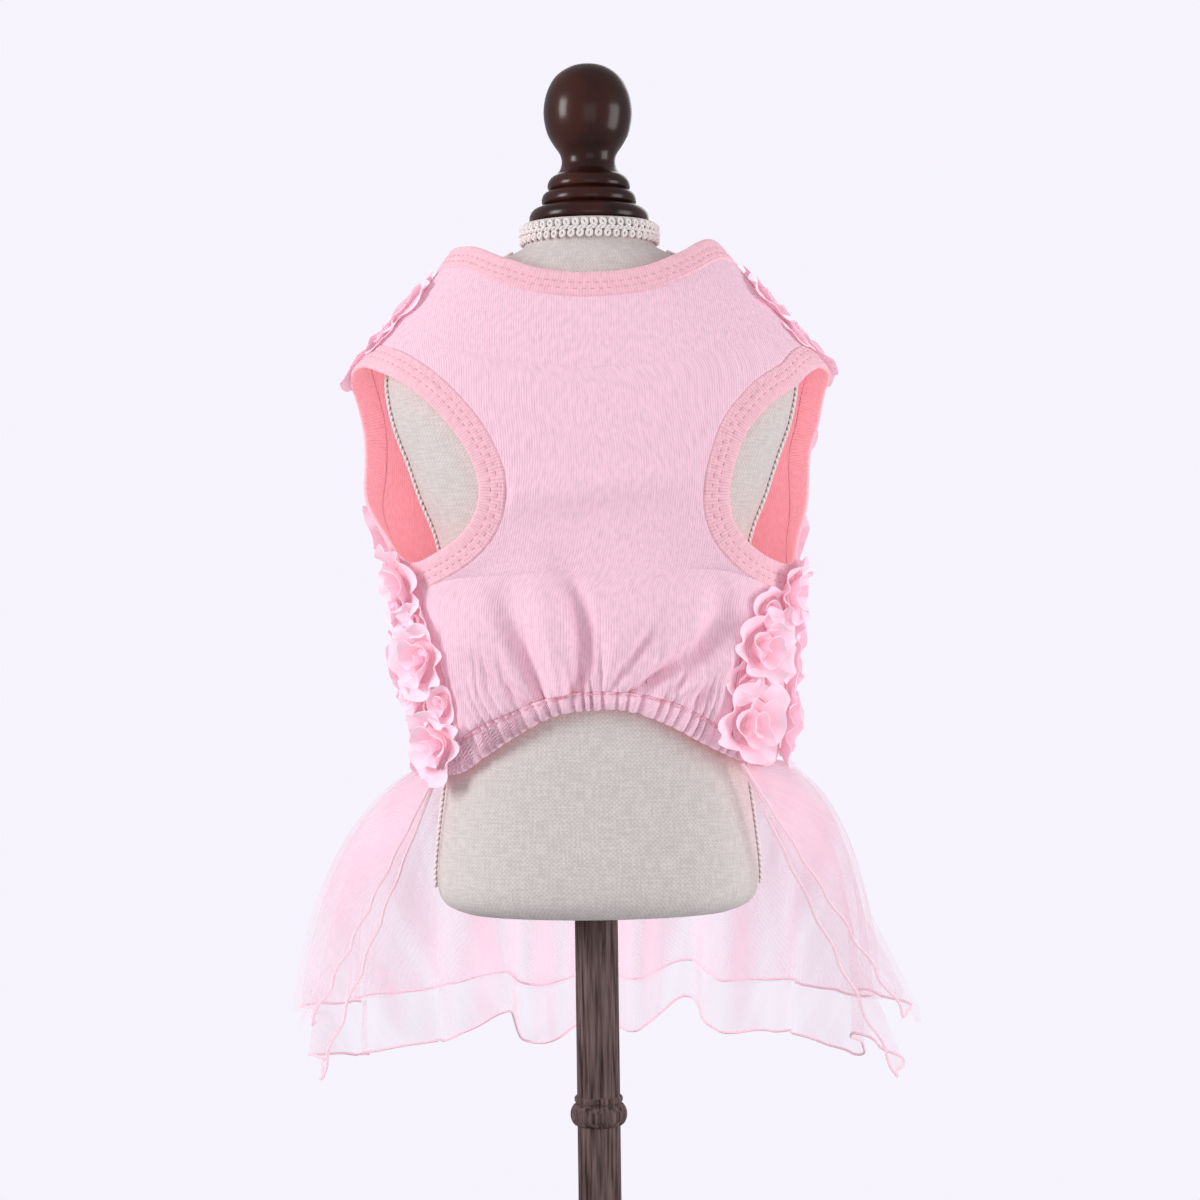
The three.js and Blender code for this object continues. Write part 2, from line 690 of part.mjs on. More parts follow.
// Middles of the rosettes: rows up the back, spaced along the cloth, with every other row shifted.
function rosetteMiddles(place) {
  const samples = 80;
  const rows = Math.round((place(0.5, 1).z - place(0.5, 0).z) / ROSETTE_ROW);
  const middles = [];
  for (let j = 0; j < rows; j++) {
    const v = (j + 0.5) / rows;
    const row = alongPlaces(Array.from({ length: samples + 1 }, (_, i) => place(i / samples, v)));
    const count = Math.max(1, Math.round(row.total / ROSETTE_PITCH - (j % 2) / 2));
    for (let k = 0; k < count; k++) {
      const { turn, z } = row.at((k + 0.5) / count);
      middles.push({ point: dressPoint(turn, z), turn, spin: ROSETTE_SPIN * middles.length });
    }
  }
  return middles;
}

// Height of the rosettes over the back cloth at a point of its surface: domes with lobed edges and a
// bud, the highest of those that reach the point.
function rosetteRelief(middles, point) {
  return middles.reduce((highest, { point: middle, turn, spin }) => {
    const away = point.distanceTo(middle) / ROSETTE_RADIUS;
    if (away > 1 + PETAL_LOBE) return highest;
    const offset = point.clone().sub(middle);
    const along = offset.x * Math.cos(radians(turn)) + offset.y * Math.sin(radians(turn));
    const angle = Math.atan2(offset.z, along);
    const edge = 1 + PETAL_LOBE * Math.cos(PETALS * angle + spin);
    const dome = Math.sqrt(Math.max(0, 1 - (away / edge) ** 2));
    const bud = 0.84 + 0.16 * Math.cos(3 * Math.PI * away + spin);
    return Math.max(highest, ROSETTE_HEIGHT * dome * bud);
  }, 0);
}

function backPanel() {
  const turnBack = (places) => places.map(({ turn, z }) => ({ turn: turn - 360, z }));
  const rightSeamBack = (z) => rightSeam(z) - 360;
  const rightWay = turnBack(rightArmhole.back);
  const inset = SEAM_GAP / 2;
  const [leftFrom, rightFrom] = [HEM[0].z, HEM[HEM.length - 1].z];
  const left = panelEdge(BACK_ROWS, leftSeam, leftFrom, leftArmhole.back, -SHOULDER_TURN, -inset);
  const right = panelEdge(BACK_ROWS, rightSeamBack, rightFrom, rightWay, SHOULDER_TURN - 360, inset);
  const place = panelPlace(right, left, waistHeight, neckSeamHeight);
  const middles = rosetteMiddles(place);
  const outer = (u, v) => {
    const { turn, z } = place(u, v);
    const edgeFade = smoothstep(Math.min(u, 1 - u, v, 1 - v), 0, ROSETTE_MARGIN);
    return onDress(turn, z, rosetteRelief(middles, dressPoint(turn, z)) * edgeFade);
  };
  const inner = (u, v) => {
    const { turn, z } = place(u, v);
    return onDress(turn, z, -BACK_CLOTH);
  };
  return wall({ columns: BACK_COLUMNS, rows: sumOf(BACK_ROWS) }, outer, inner, BACK_INNER_STEP);
}

// A knitted band folded over a cut edge: a hoop from the opening's edge to its seam.
const BAND_SECTION = [
  { across: 0, lift: (BAND_OUT + BAND_IN) / 2 },
  { across: 0.1, lift: BAND_OUT },
  { across: 1, lift: BAND_OUT },
  { across: 1, lift: BAND_IN },
  { across: 0.1, lift: BAND_IN },
];
function band(edge, width, side, steps) {
  const lines = BAND_SECTION.map(({ across }) => offsetEdge(edge, Math.max(width * across, 0.01), side));
  return hoop(steps, (share) =>
    BAND_SECTION.map(({ lift }, k) => {
      const { turn, z } = lines[k](share);
      return onDress(turn, z, lift);
    }),
  );
}

// The elastic casing, a flat tube drawn into gathers, between the two side seams.
function hemCasing() {
  const [low, high] = [HEM[0], HEM[HEM.length - 1]];
  const [lowTop, highTop] = [CASING_TOP[0], CASING_TOP[CASING_TOP.length - 1]];
  const left = sideEdge(seamPlaces(leftSeam, low.z, lowTop.z), SEAM_GAP / 2);
  const right = sideEdge(seamPlaces(rightSeam, high.z, highTop.z), -SEAM_GAP / 2);
  const place = panelPlace(left, right, hemHeight, casingTopHeight);
  const face = (lift, share) => (u, v) => {
    const { turn, z } = place(u, v);
    const wave = Math.cos(2 * Math.PI * GATHERS * u + 0.6 * Math.sin(9 * u));
    const roundness = Math.sin(Math.PI * v) * 0.6 * Math.sign(lift);
    return onDress(turn, z, lift + roundness + share * GATHER_DEPTH * wave);
  };
  const grid = { columns: GATHERS * COLUMNS_A_GATHER, rows: CASING_GRID_ROWS };
  return wall(grid, face(CASING_OUT, 1), face(CASING_IN, 0.5));
}

// One layer of the half skirt, from its right front edge round the back to its left front edge.
const ruffle = { out: curveOf(RUFFLES, "turn", "out"), drop: curveOf(RUFFLES, "turn", "drop") };

function skirtLayer({ lift, left, right, back, hem, depth }) {
  const point = (u, v, inward) => {
    const waistTurn = lerp(SKIRT_WAIST.from, SKIRT_WAIST.to, u);
    const hemTurn = lerp(SKIRT_HEM.from, SKIRT_HEM.to, u);
    const seam = waistHeight(waistTurn);
    const top = onDress(waistTurn, seam, lift - inward).setZ(seam - WAIST_GAP);
    const [sine, cosine] = [Math.sin(radians(hemTurn)), Math.cos(radians(hemTurn))];
    const side = sine < 0 ? left : right;
    const inside = smoothstep(Math.min(u, 1 - u), 0, SKIRT_FRONT);
    const spread = lerp(v, Math.sin((Math.PI / 2) * v ** SKIRT_SPREAD), inside);
    const growth = lerp(RUFFLE_START, 1, v) * Math.min(1, v * SKIRT_GRID.rows);
    const away = depth * growth * ruffle.out(hemTurn) - inward;
    return new THREE.Vector3(
      lerp(top.x, (side + away) * sine, spread),
      lerp(top.y, -(back + away) * cosine, spread),
      lerp(top.z, hem - depth * ruffle.drop(hemTurn), v),
    );
  };
  return wall(SKIRT_GRID, (u, v) => point(u, v, 0), (u, v) => point(u, v, SKIRT_CLOTH));
}

// ---------------------------------------------------------------- the dress form
const torso = {
  width: curveOf(TORSO, "z", "width"),
  front: curveOf(TORSO, "z", "front"),
  back: curveOf(TORSO, "z", "back"),
};

function torsoPoint(turn, z, lift = 0) {
  const at = (angle, height) => {
    const [sine, cosine] = [Math.sin(radians(angle)), Math.cos(radians(angle))];
    const depth = cosine > 0 ? torso.front(height) : torso.back(height);
    return new THREE.Vector3(AXIS_SHIFT + torso.width(height) * sine, -depth * cosine, height);
  };
  const here = at(turn, z);
  if (!lift) return here;
  const byTurn = at(turn + 0.5, z).sub(at(turn - 0.5, z));
  const byHeight = at(turn, z + 0.5).sub(at(turn, z - 0.5));
  return here.addScaledVector(byTurn.cross(byHeight).normalize(), lift);
}

function torsoBody() {
  const turns = Array.from({ length: TORSO_SIDES }, (_, k) => (360 * k) / TORSO_SIDES);
  return loft(TORSO.map(({ z }) => turns.map((turn) => torsoPoint(turn, z))));
}

// Gimp braid down one side of the torso, over the shoulder to the neck.
function sideBraid(turn) {
  const rows = TORSO.filter(({ z }) => z >= SIDE_BRAID_FROM && z <= SIDE_BRAID_TO);
  const half = (z) => THREE.MathUtils.radToDeg(SIDE_BRAID_WIDTH / 2 / torso.front(z));
  const strip = (lift) => (u, v) => {
    const { z } = rows[Math.round(v * (rows.length - 1))];
    return torsoPoint(turn + lerp(-1, 1, u) * half(z), z, lift);
  };
  return wall({ columns: 2, rows: rows.length - 1 }, strip(BRAID_GAP + BRAID_THICKNESS), strip(BRAID_GAP));
}

// The wider braid round the straight neck.
function neckBraid() {
  const ring = (lift, z) => (turn) => new THREE.Vector3(
    AXIS_SHIFT + (NECK.width + lift) * Math.sin(turn),
    -(NECK.front + lift) * Math.cos(turn),
    z,
  );
  const corners = [
    ring(BRAID_GAP, NECK_BRAID_FROM),
    ring(BRAID_GAP + BRAID_THICKNESS, NECK_BRAID_FROM),
    ring(BRAID_GAP + BRAID_THICKNESS, NECK_BRAID_TO),
    ring(BRAID_GAP, NECK_BRAID_TO),
  ];
  return hoop(TORSO_SIDES, (share) => corners.map((corner) => corner(2 * Math.PI * share)));
}

// A turned piece from its profile, closed on the axis.
function turned(profile, top, segments) {
  const low = profile[0].z;
  const outline = [[0, low], ...profile.map(({ r, z }) => [r, z]), [0, top]];
  const geometry = new THREE.LatheGeometry(outline.map(([r, z]) => new THREE.Vector2(r, z)), segments);
  return geometry.rotateX(Math.PI / 2);
}

// ---------------------------------------------------------------- materials and the scene graph
const cloth = (colour) => new THREE.MeshStandardMaterial({ color: colour, roughness: 0.9, metalness: 0 });
const darkWood = new THREE.MeshStandardMaterial({ color: 0x2e1512, roughness: 0.25, metalness: 0 });
const greyWood = new THREE.MeshStandardMaterial({ color: 0x65534f, roughness: 0.55, metalness: 0 });
const linen = cloth(0xd8d1c9);
const gimp = cloth(0xe9e2da);
const jersey = cloth(0xf1c3d2);
const ribbing = cloth(0xf8b7c2);
const rosettes = cloth(0xfcc3d2);

const part = new THREE.Group();
const stand = new THREE.Group();
const garment = new THREE.Group();
const finial = new THREE.Group();
finial.position.x = AXIS_SHIFT;
part.add(stand, garment);
stand.add(finial);

function add(group, name, geometry, material) {
  const mesh = new THREE.Mesh(geometry, material);
  mesh.name = name;
  group.add(mesh);
}

add(stand, "form_base", turned(BASE_PROFILE, 24, 28), darkWood);
add(stand, "form_pole", turned(POLE_PROFILE, 244.7, 14), greyWood);
add(stand, "form_torso", torsoBody(), linen);
add(finial, "form_finial", turned(FINIAL_PROFILE, FINIAL_TOP, 16), darkWood);
add(stand, "form_neck_braid", neckBraid(), gimp);
add(stand, "form_side_braid_left", sideBraid(-90), gimp);
add(stand, "form_side_braid_right", sideBraid(90), gimp);

add(garment, "belly_panel", bellyPanel(), jersey);
add(garment, "back_panel", backPanel(), rosettes);
add(garment, "hem_casing", hemCasing(), jersey);
add(garment, "neck_band", band(neckline, NECK_BAND_WIDTH, -1, NECK_BAND_STEPS), ribbing);
add(garment, "leg_band_left", band(leftArmhole.edge, LEG_BAND_WIDTH, 1, LEG_BAND_STEPS), ribbing);
add(garment, "leg_band_right", band(rightArmhole.edge, LEG_BAND_WIDTH, -1, LEG_BAND_STEPS), ribbing);
for (const layer of SKIRT_LAYERS) add(garment, layer.name, skirtLayer(layer), cloth(layer.colour));

export default part;
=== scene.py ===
"""A small dog's dress on a turned-wood tabletop dress form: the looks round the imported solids.

Lengths are millimetres and MM turns them into Blender's metres. A place on the dress is a pair (turn,
z): turn is an angle round the form in degrees, 0 at the middle of the belly (-Y), 90 at +X and 180 at
the middle of the back, and z is the height. Cloth is a thin closed shell between two grids of points;
only the sheer skirt's layers are single open sheets. All follow the same sections and cut edges as the
solids, with finer folds, gathers, stitches and rosettes. Grids hold rows going up and columns round.
"""

import math

import bpy
import numpy as np
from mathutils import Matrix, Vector


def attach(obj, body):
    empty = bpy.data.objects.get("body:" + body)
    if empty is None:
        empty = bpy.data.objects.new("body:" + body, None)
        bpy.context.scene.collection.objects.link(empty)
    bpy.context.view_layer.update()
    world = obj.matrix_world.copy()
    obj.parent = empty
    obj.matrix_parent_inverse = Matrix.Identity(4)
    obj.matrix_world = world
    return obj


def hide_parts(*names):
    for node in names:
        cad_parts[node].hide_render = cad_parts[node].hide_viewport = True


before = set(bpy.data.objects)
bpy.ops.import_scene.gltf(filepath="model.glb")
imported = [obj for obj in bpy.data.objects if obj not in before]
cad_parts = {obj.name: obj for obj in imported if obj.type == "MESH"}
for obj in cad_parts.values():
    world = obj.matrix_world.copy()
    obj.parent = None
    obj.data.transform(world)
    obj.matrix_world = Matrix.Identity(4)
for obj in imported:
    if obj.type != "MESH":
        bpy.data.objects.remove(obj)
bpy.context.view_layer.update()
MM = 0.001


def table(columns, *rows):
    """Rows of numbers as a dictionary of named columns."""
    return dict(zip(columns.split(), np.array(rows, float).T))


# ---------------------------------------------------------------- sizes of the cloth
JERSEY = 1.4
BACK_CLOTH = 1.5
SEAM_GAP = 0.5
CORNER_GAP = 0.6
CASING_GAP = 0.15
WAIST_GAP = 0.9
LEG_BAND_WIDTH = 13
NECK_BAND_WIDTH = 12
SHOULDER_TURN = 78
SIDE_SEAM_TURN = 61
GATHER_PITCH = 3.4  # degrees of turn
GATHER_DEPTH = 1.6
GATHER_LEAN = 0.3
BILLOW = 4
BILLOW_RISE = (32, 28)  # height above the casing where it is fullest, and its reach
BREAST_HEIGHT = 450
HEM_SCALLOP = 0.45
CASING_OUT = 0.9
CASING_IN = -1.8
CASING_EDGES = (-0.6, -1.2)  # lifts of its outer and inner face along the top and the bottom
CASING_PINCH = 0.7
SEAM_ROLL = 1.3  # width over which a panel's edge turns down into its seam
SEAM_SINK = 0.35
FOLD_FADE = 0.06  # share of the belly's width over which its folds fade beside the seams
BACK_SLACK = 0.35

STITCH_ROWS = (6.1, 9.6)  # distances of the two stitch rows from an opening's edge
STITCH_PITCH = 3.8
STITCH_LENGTH = 2.7
STITCH_RADIUS = 0.3
STITCH_DIMPLE = 0.42
BAND_STITCH_LIFT = 0.46
CASING_STITCHES = 46
CASING_STITCH_LIFT = 0.22
CASING_STITCH_LINE = 0.9  # share of the casing's height

ROSETTE_PITCH = 37
ROSETTE_ROW = 32
ROSETTE_SIZE = 24
FILLER_SIZE = 15.5  # the smaller rosettes that fill the gaps between the rows
SMALL_FILLER_SIZE = 11
EDGE_FILLER_SIZE = 13
ROSETTE_END = 0.3  # how far in the end rosettes of a row stand, as a share of the pitch
ROSETTE_SPIN = 1.9
FILLER_AT, SMALL_FILLER_AT = 0.28, 0.76  # shares of the pitch
EDGE_FILLER_INSET = 4.5
RIBBON_TURNS = 2.8
FILLER_TURNS = 0.72  # against a large rosette's
RIBBON_TAPER = 0.25  # angle of the first step against the last one's
RIBBON_FOOT = (0.62, 0.07)  # radius from the outside in, as shares of the rosette's size
RIBBON_WIDTH = (0.44, 0.33)
RIBBON_LEAN = (1.12, 0.1)  # radians from straight out
RUFFLE_HEIGHT = (0.12, 0.07)
RIBBON_STEPS = 42  # a turn
RIBBON_COLUMNS = 5
RUFFLE_WAVE = 14
CHIFFON = 0.16  # half its thickness

SKIRT_CLOTH = 0.6
SKIRT_STEP = 1.3
SKIRT_WAIST = (-308, -73)
SKIRT_HEM = (-272, -82)
SKIRT_SPREAD = 0.6
SKIRT_FRONT = 0.12
RUFFLE_START = 0.12
WAIST_GATHERS = 62
MIDDLE_FOLDS = 21
EDGE_RIPPLES = 37
ROLLED_EDGE = 0.75
EDGE_STEPS = (80, 560)  # down a front, and round the hem
COVER = "cover"  # the mesh attribute that says how much the sheer cloth covers

# Thread spacings in metres, for the materials.
WALE_PITCH = 0.00125
LINEN_PITCH = 0.0022
NET_PITCH = 0.0016

# Mesh densities. A panel has three counts of rows: beside its side seam, armhole and shoulder seam.
BELLY_GRID = (280, (34, 50, 12))
BACK_GRID = (110, (32, 48, 16))
CASING_GRID = (520, 14)
SKIRT_GRID = (360, 36)
TORSO_GRID = (168, 150)
LEG_BAND_STEPS = 400
NECK_BAND_STEPS = 500
LATHE_STEPS = 96
AXIS_HOLE = 0.02  # radius left open at a turning's axis
ANY_WAY = (0.21, 0.33, 0.92)  # a direction that no cord runs in

# ---------------------------------------------------------------- the dress's sections and edges
# Outside of the cloth: half widths to each side, depths to belly and back, sideways bulge behind.
DRESS = table(
    "z left right front back bulge",
    (300, 82, 91, 50, 68, 0),
    (320, 83, 92, 51, 67, 0),
    (345, 89, 96, 52, 66, 0),
    (370, 94.5, 97, 54, 66, 0),
    (400, 96, 100, 56, 66, 0),
    (425, 100, 103, 57.5, 66, 0),
    (450, 108, 107, 61, 65, 6),
    (475, 114, 111.5, 61.5, 64, 10),
    (490, 118, 118, 60, 62, 9),
    (507, 119.5, 119, 57.5, 59, 4),
    (516, 117, 117, 55.5, 57, 1),
    (527, 107.5, 107.5, 53, 55, 0),
    (543, 93.5, 94, 49, 51, 0),
    (559, 79.5, 80.5, 44.5, 48, 0),
    (575, 67.5, 67, 40, 45, 0),
    (590, 56, 56, 37, 42, 0),
)
NECKLINE = table(
    "turn z",
    (-180, 556), (-150, 558), (-120, 566), (-98, 573), (-82, 575.5), (-66, 575.5), (-52, 574),
    (-32, 567), (-16, 561), (0, 558.6), (18, 561), (38, 569), (55, 575.5), (70, 578),
    (85, 576.5), (100, 573), (120, 566), (150, 558), (180, 556),
)
WAIST = table(
    "turn z",
    (-310, 321), (-290, 317), (-270, 320), (-250, 317), (-220, 312), (-180, 308), (-140, 311),
    (-110, 316), (-90, 319), (-72, 315.4),
)
HEM = table(
    "turn z",
    (-72, 315.4), (-60, 315.6), (-51, 317), (-38, 325.5), (-25, 335.4), (-13, 344), (-2, 347),
    (10, 346.5), (22, 339.5), (36, 329), (50, 321),
)
CASING_TOP = table(
    "turn z",
    (-54, 330), (-40, 339), (-26, 346.5), (-15.5, 352.3), (-1.6, 356), (12.8, 354.6),
    (25, 349.4), (37.3, 340), (46, 333.6),
)
LEFT_SEAM = (
    (315.4, -72), (322, -62), (330, -54), (338, -51.6), (355, -50.5), (374.5, -53.7), (391.5, -59.4),
)
RIGHT_SEAM = (
    (321, 50), (333.6, 46), (346, 45), (365.3, 47.1), (384.5, 51.9), (396, 57),
)
LEFT_ARMHOLE = (
    (-53.4, 509.3), (-42.6, 498.6), (-35.6, 485), (-31.1, 470), (-29.4, 455.6), (-31.9, 442.8),
    (-37.8, 432.9), (-47.6, 425.1), (-62.3, 419.5), (-75, 424.5), (-86, 436), (-99, 453),
    (-110, 470), (-114, 488), (-107, 504), (-92, 514), (-76, 517), (-64, 514.5),
)
RIGHT_ARMHOLE = (
    (58.7, 503.3), (48.5, 494.4), (43, 483.1), (40.5, 468.5), (39, 451.6), (40.8, 439.7),
    (45.5, 430.2), (55, 421.5), (70, 416.7), (84, 419), (92, 428), (99, 442), (107, 459),
    (112, 476), (112, 492), (105, 504), (92, 511), (76, 513.5), (66, 510),
)

# Soft troughs of the belly panel: x where each leaves the casing, half way and at its end, reach, half
# width and depth. A negative depth is a ridge. The finer ones follow after the blank line.
BELLY_FOLDS = (
    (-8, 7, -24, 74, 5.6, 7.2),
    (-25, -34, -46, 64, 5.2, 7.2),
    (-31, -50, -60, 38, 4.2, 4.6),
    (18, 68, 63, 72, 5.2, 8.2),
    (8, 18, 30, 34, 3.6, 3.6),
    (46, 56, 62, 30, 3.6, 3.4),
    (-16, -15, -34, 72, 6.5, -4.6),
    (14, 24, 28, 70, 12, -2.4),
    (34, 76, 74, 66, 5, -3),

    (2, -2, -9, 46, 2.4, 1.7),
    (-10, -16, -20, 38, 2.2, 1.6),
    (-33, -43, -52, 44, 2.6, 1.9),
    (14, 22, 38, 52, 2.6, 1.8),
    (27, 36, 47, 40, 2.4, 1.9),
    (35, 50, 61, 48, 2.8, 2.0),
    (-52, -60, -64, 40, 3.0, 1.1),
    (-28, -31, -37, 30, 2.2, -0.7),
    (31, 43, 53, 34, 2.4, -0.8),
    (5, 9, 16, 36, 2.4, -0.7),
)
# How far up each gather of the belly runs before it fades, from the left seam to the right one.
GATHER_REACH = (
    10, 17, 9, 13, 22, 8, 12, 26, 9, 18, 8, 14, 30, 10, 16,
    9, 24, 12, 8, 20, 13, 28, 9, 12, 21, 8, 16, 23, 10, 17, 9, 13, 20, 8, 12,
)
# Ruffle folds at the skirt's hem: turn, how far out of the even cone each stands, and its drop.
RUFFLES = table(
    "turn out drop",
    (-274, 0, 9), (-264, 8, 2), (-254, -9, -8), (-243, 9, 8), (-231, -9, 0), (-219, 10, 3),
    (-207, -9, 2), (-198, 11, -12), (-189, -10, 4), (-179, 9, 0), (-171, -8, 7), (-164.5, 11, 12),
    (-158, -12, -9), (-149, 10, 6), (-138, -9, 3), (-126, 10, 7), (-113, -8, 2), (-101, 8, -2),
    (-91, -4, -3), (-80, 0, 4),
)
# Lift at the waist seam, hem half widths and depth, hem height, shares of each ruffle and of its drop,
# ripple phase.
SKIRT_LAYERS = {
    "skirt_net": (SKIRT_STEP, 149.5, 156, 144, 192, 0.95, 0.6, 0.4),
    "skirt_short_organza": (0, 145, 151, 140, 194, 0.97, 0.5, 2.1),
    "skirt_long_organza": (-SKIRT_STEP, 141, 146, 136, 168, 1, 1, 4.0),
}

# ---------------------------------------------------------------- the dress form's sections
AXIS_SHIFT = 1.2
NECK = (33, 32, 32)
TORSO = table(
    "z width front back",
    (245, 66, 42, 43), (248, 74, 48, 49), (254, 79, 52.5, 54), (264, 80.3, 54, 56),
    (284, 78.5, 53, 56), (316, 74.5, 50, 52), (345, 71.3, 47, 48), (375, 70.5, 47, 45),
    (405, 73, 51, 46), (432, 77.8, 55.5, 48), (452, 85.5, 58.6, 50), (470, 91.5, 59.2, 52),
    (488, 98, 57, 54), (507, 101.5, 53, 54), (520, 100.3, 49.5, 52), (532, 96, 46.5, 49),
    (541, 89.5, 44, 46), (550, 78, 41.5, 43.5), (559, 63.5, 38.5, 40.5), (567, 49, 35.5, 37),
    (572, 40, 33.5, 34.5), (576, *NECK), (587.5, *NECK),
)
# Turned wood as runs of (radius, height); a run is smooth and runs meet in a crease.
BASE_RUNS = (
    ((0, 0), (91, 0)),
    ((91, 0), (94, 1.4), (95, 5), (94.2, 9.5), (90, 13.2)),
    ((90, 13.2), (84, 14.6), (70, 16.6), (46, 18.2), (34, 19.6), (26, 22), (22, 24)),
    ((22, 24), (0, 24)),
)
POLE_RUNS = (
    ((0, 24.3), (10.75, 24.3)),
    ((10.75, 24.3), (10.75, 137.6)),
    ((10.75, 137.6), (12.6, 138.6), (14, 141.4), (14, 145), (12.6, 147.8), (11.2, 148.8)),
    ((11.2, 148.8), (12, 150), (12, 151.6), (10.75, 153)),
    ((10.75, 153), (10.75, 244.7)),
    ((10.75, 244.7), (0, 244.7)),
)
FINIAL_RUNS = (
    ((0, 587.8), (29, 587.8)),
    ((29, 587.8), (29.9, 589.6), (29.6, 592.4), (27.4, 595.2), (22, 596.8)),
    ((22, 596.8), (23.5, 598.2), (23.6, 600.6), (22.4, 603), (19.4, 604.5)),
    ((19.4, 604.5), (20.6, 605.8), (20.5, 608.2), (18.8, 611), (16.2, 612.6)),
    (
        (16.2, 612.6), (14.2, 615.4), (13.4, 619.2), (14.4, 623.2), (17.4, 627.6), (20.4, 633.2),
        (22.1, 641), (22, 647), (20.4, 654), (16.6, 661), (10.5, 665.8), (4.5, 667.7), (0, 668),
    ),
)
TORSO_GIRTH = 440
GIMP_LOOPS = 48
GIMP_ROWS = (579.2, 584.6)
GIMP_CORD = 0.85
GIMP_RING = (1.1, 1.4, 0.2)  # half width, half height and bend of a loop
GIMP_LEAN = 0.45
GIMP_LOOP_OUT = 1.15
TWIST_HEIGHT, TWIST_OUT, TWIST_CORD = 581.9, 1.3, 0.6
PLAIT_PITCH = 8.4
PLAIT_CORD = 0.66
PLAIT_FROM, PLAIT_TO = 258, 573


# ---------------------------------------------------------------- plain mathematics
def lerp(a, b, t):
    return a + (b - a) * t


def smoothstep(x, low, high):
    t = np.clip((x - low) / (high - low), 0, 1)
    return t * t * (3 - 2 * t)


def bell(x, middle, width):
    return np.exp(-(((x - middle) / width) ** 2))


def from_edge(share):
    """How far a share from 0 to 1 is from the nearer end."""
    return np.minimum(share, 1 - share)


def unit(vectors):
    return vectors / np.linalg.norm(vectors, axis=-1, keepdims=True)


def hermite(t, a, b, slope_a, slope_b):
    t2, t3 = t * t, t * t * t
    return (
        (2 * t3 - 3 * t2 + 1) * a
        + (t3 - 2 * t2 + t) * slope_a
        + (3 * t2 - 2 * t3) * b
        + (t3 - t2) * slope_b
    )


def curve(x, y):
    """A smooth curve through the values y over the ascending values x."""
    x, y = np.asarray(x, float), np.asarray(y, float)
    last = len(x) - 1
    before = np.maximum(np.arange(last + 1) - 1, 0)
    after = np.minimum(np.arange(last + 1) + 1, last)
    slope = (y[after] - y[before]) / (x[after] - x[before])

    def at(value):
        value = np.clip(value, x[0], x[-1])
        i = np.clip(np.searchsorted(x, value), 1, last)
        span = x[i] - x[i - 1]
        t = (value - x[i - 1]) / span
        return hermite(t, y[i - 1], y[i], slope[i - 1] * span, slope[i] * span)

    return at


def curves(rows):
    """A smooth curve for each column of a table over its first one."""
    first, *others = rows.values()
    return [curve(first, values) for values in others]


def spline(points, closed):
    """A centripetal spline through points, as a function of the share of the points passed."""
    points = np.asarray(points, float)
    if not closed:
        points = np.vstack([2 * points[0] - points[1], points, 2 * points[-1] - points[-2]])
    count = len(points)
    first, spans = (0, count) if closed else (1, count - 3)

    def at(share):
        place = (np.mod(share, 1) if closed else np.clip(share, 0, 1)) * spans
        step = np.minimum(np.floor(place), spans - 1).astype(int)
        t = (place - step)[..., None]
        p0, p1, p2, p3 = (points[(first + step + k) % count] for k in (-1, 0, 1, 2))
        d0, d1, d2 = (
            np.linalg.norm(b - a, axis=-1, keepdims=True) ** 0.5 for a, b in ((p0, p1), (p1, p2), (p2, p3))
        )
        one = ((p1 - p0) / d0 - (p2 - p0) / (d0 + d1) + (p2 - p1) / d1) * d1
        two = ((p2 - p1) / d1 - (p3 - p1) / (d1 + d2) + (p3 - p2) / d2) * d1
        return hermite(t, p1, p2, one, two)

    return at


# ---------------------------------------------------------------- meshes
def circle(steps):
    """Angles evenly spaced round a full turn."""
    return 2 * np.pi * np.arange(steps) / steps


def quads(index):
    """Four-sided faces between neighbouring rows and columns of point numbers."""
    return np.stack([index[:-1, :-1], index[:-1, 1:], index[1:, 1:], index[1:, :-1]], -1).reshape(-1, 4)


def shell(outer, inner, uv):
    """A thin closed wall between two grids of points: points, faces, uvs and a material for each face.

    The outer face and the cut edge have material 0 and the inner face material 1.
    """
    rows, columns = outer.shape[:2]
    index = np.arange(rows * columns).reshape(rows, columns)
    front = quads(index)
    back = front[:, ::-1] + index.size
    edge = np.r_[index[0, :-1], index[:-1, -1], index[-1, :0:-1], index[:0:-1, 0]]
    after = np.roll(edge, -1)
    sides = np.stack([after, edge, edge + index.size, after + index.size], -1)
    points = np.concatenate([outer.reshape(-1, 3), inner.reshape(-1, 3)])
    uvs = np.concatenate([uv.reshape(-1, 2)] * 2)
    materials = np.repeat([0, 1, 0], [len(front), len(back), len(sides)])
    return points, np.concatenate([front, back, sides]).tolist(), uvs, materials


def sheet_grid(grid, uv):
    """A sheet too thin to need two faces."""
    faces = quads(np.arange(grid.shape[0] * grid.shape[1]).reshape(grid.shape[:2]))
    return grid.reshape(-1, 3), faces.tolist(), uv.reshape(-1, 2), np.zeros(len(faces), int)


def ring_grid(grid, closed, uv=None):
    """A tube through rings of points, stored as rows; closed joins the last ring to the first."""
    steps, sides = grid.shape[:2]
    index = np.arange(steps * sides).reshape(steps, sides)
    run = np.vstack([index, index[:1]]) if closed else index
    a, b = run[:-1], run[1:]
    faces = np.stack([a, np.roll(a, -1, 1), np.roll(b, -1, 1), b], -1).reshape(-1, 4).tolist()
    if not closed:
        faces += [index[0, ::-1].tolist(), index[-1].tolist()]
    uvs = np.zeros((steps * sides, 2)) if uv is None else uv.reshape(-1, 2)
    return grid.reshape(-1, 3), faces, uvs, np.zeros(len(faces), int)


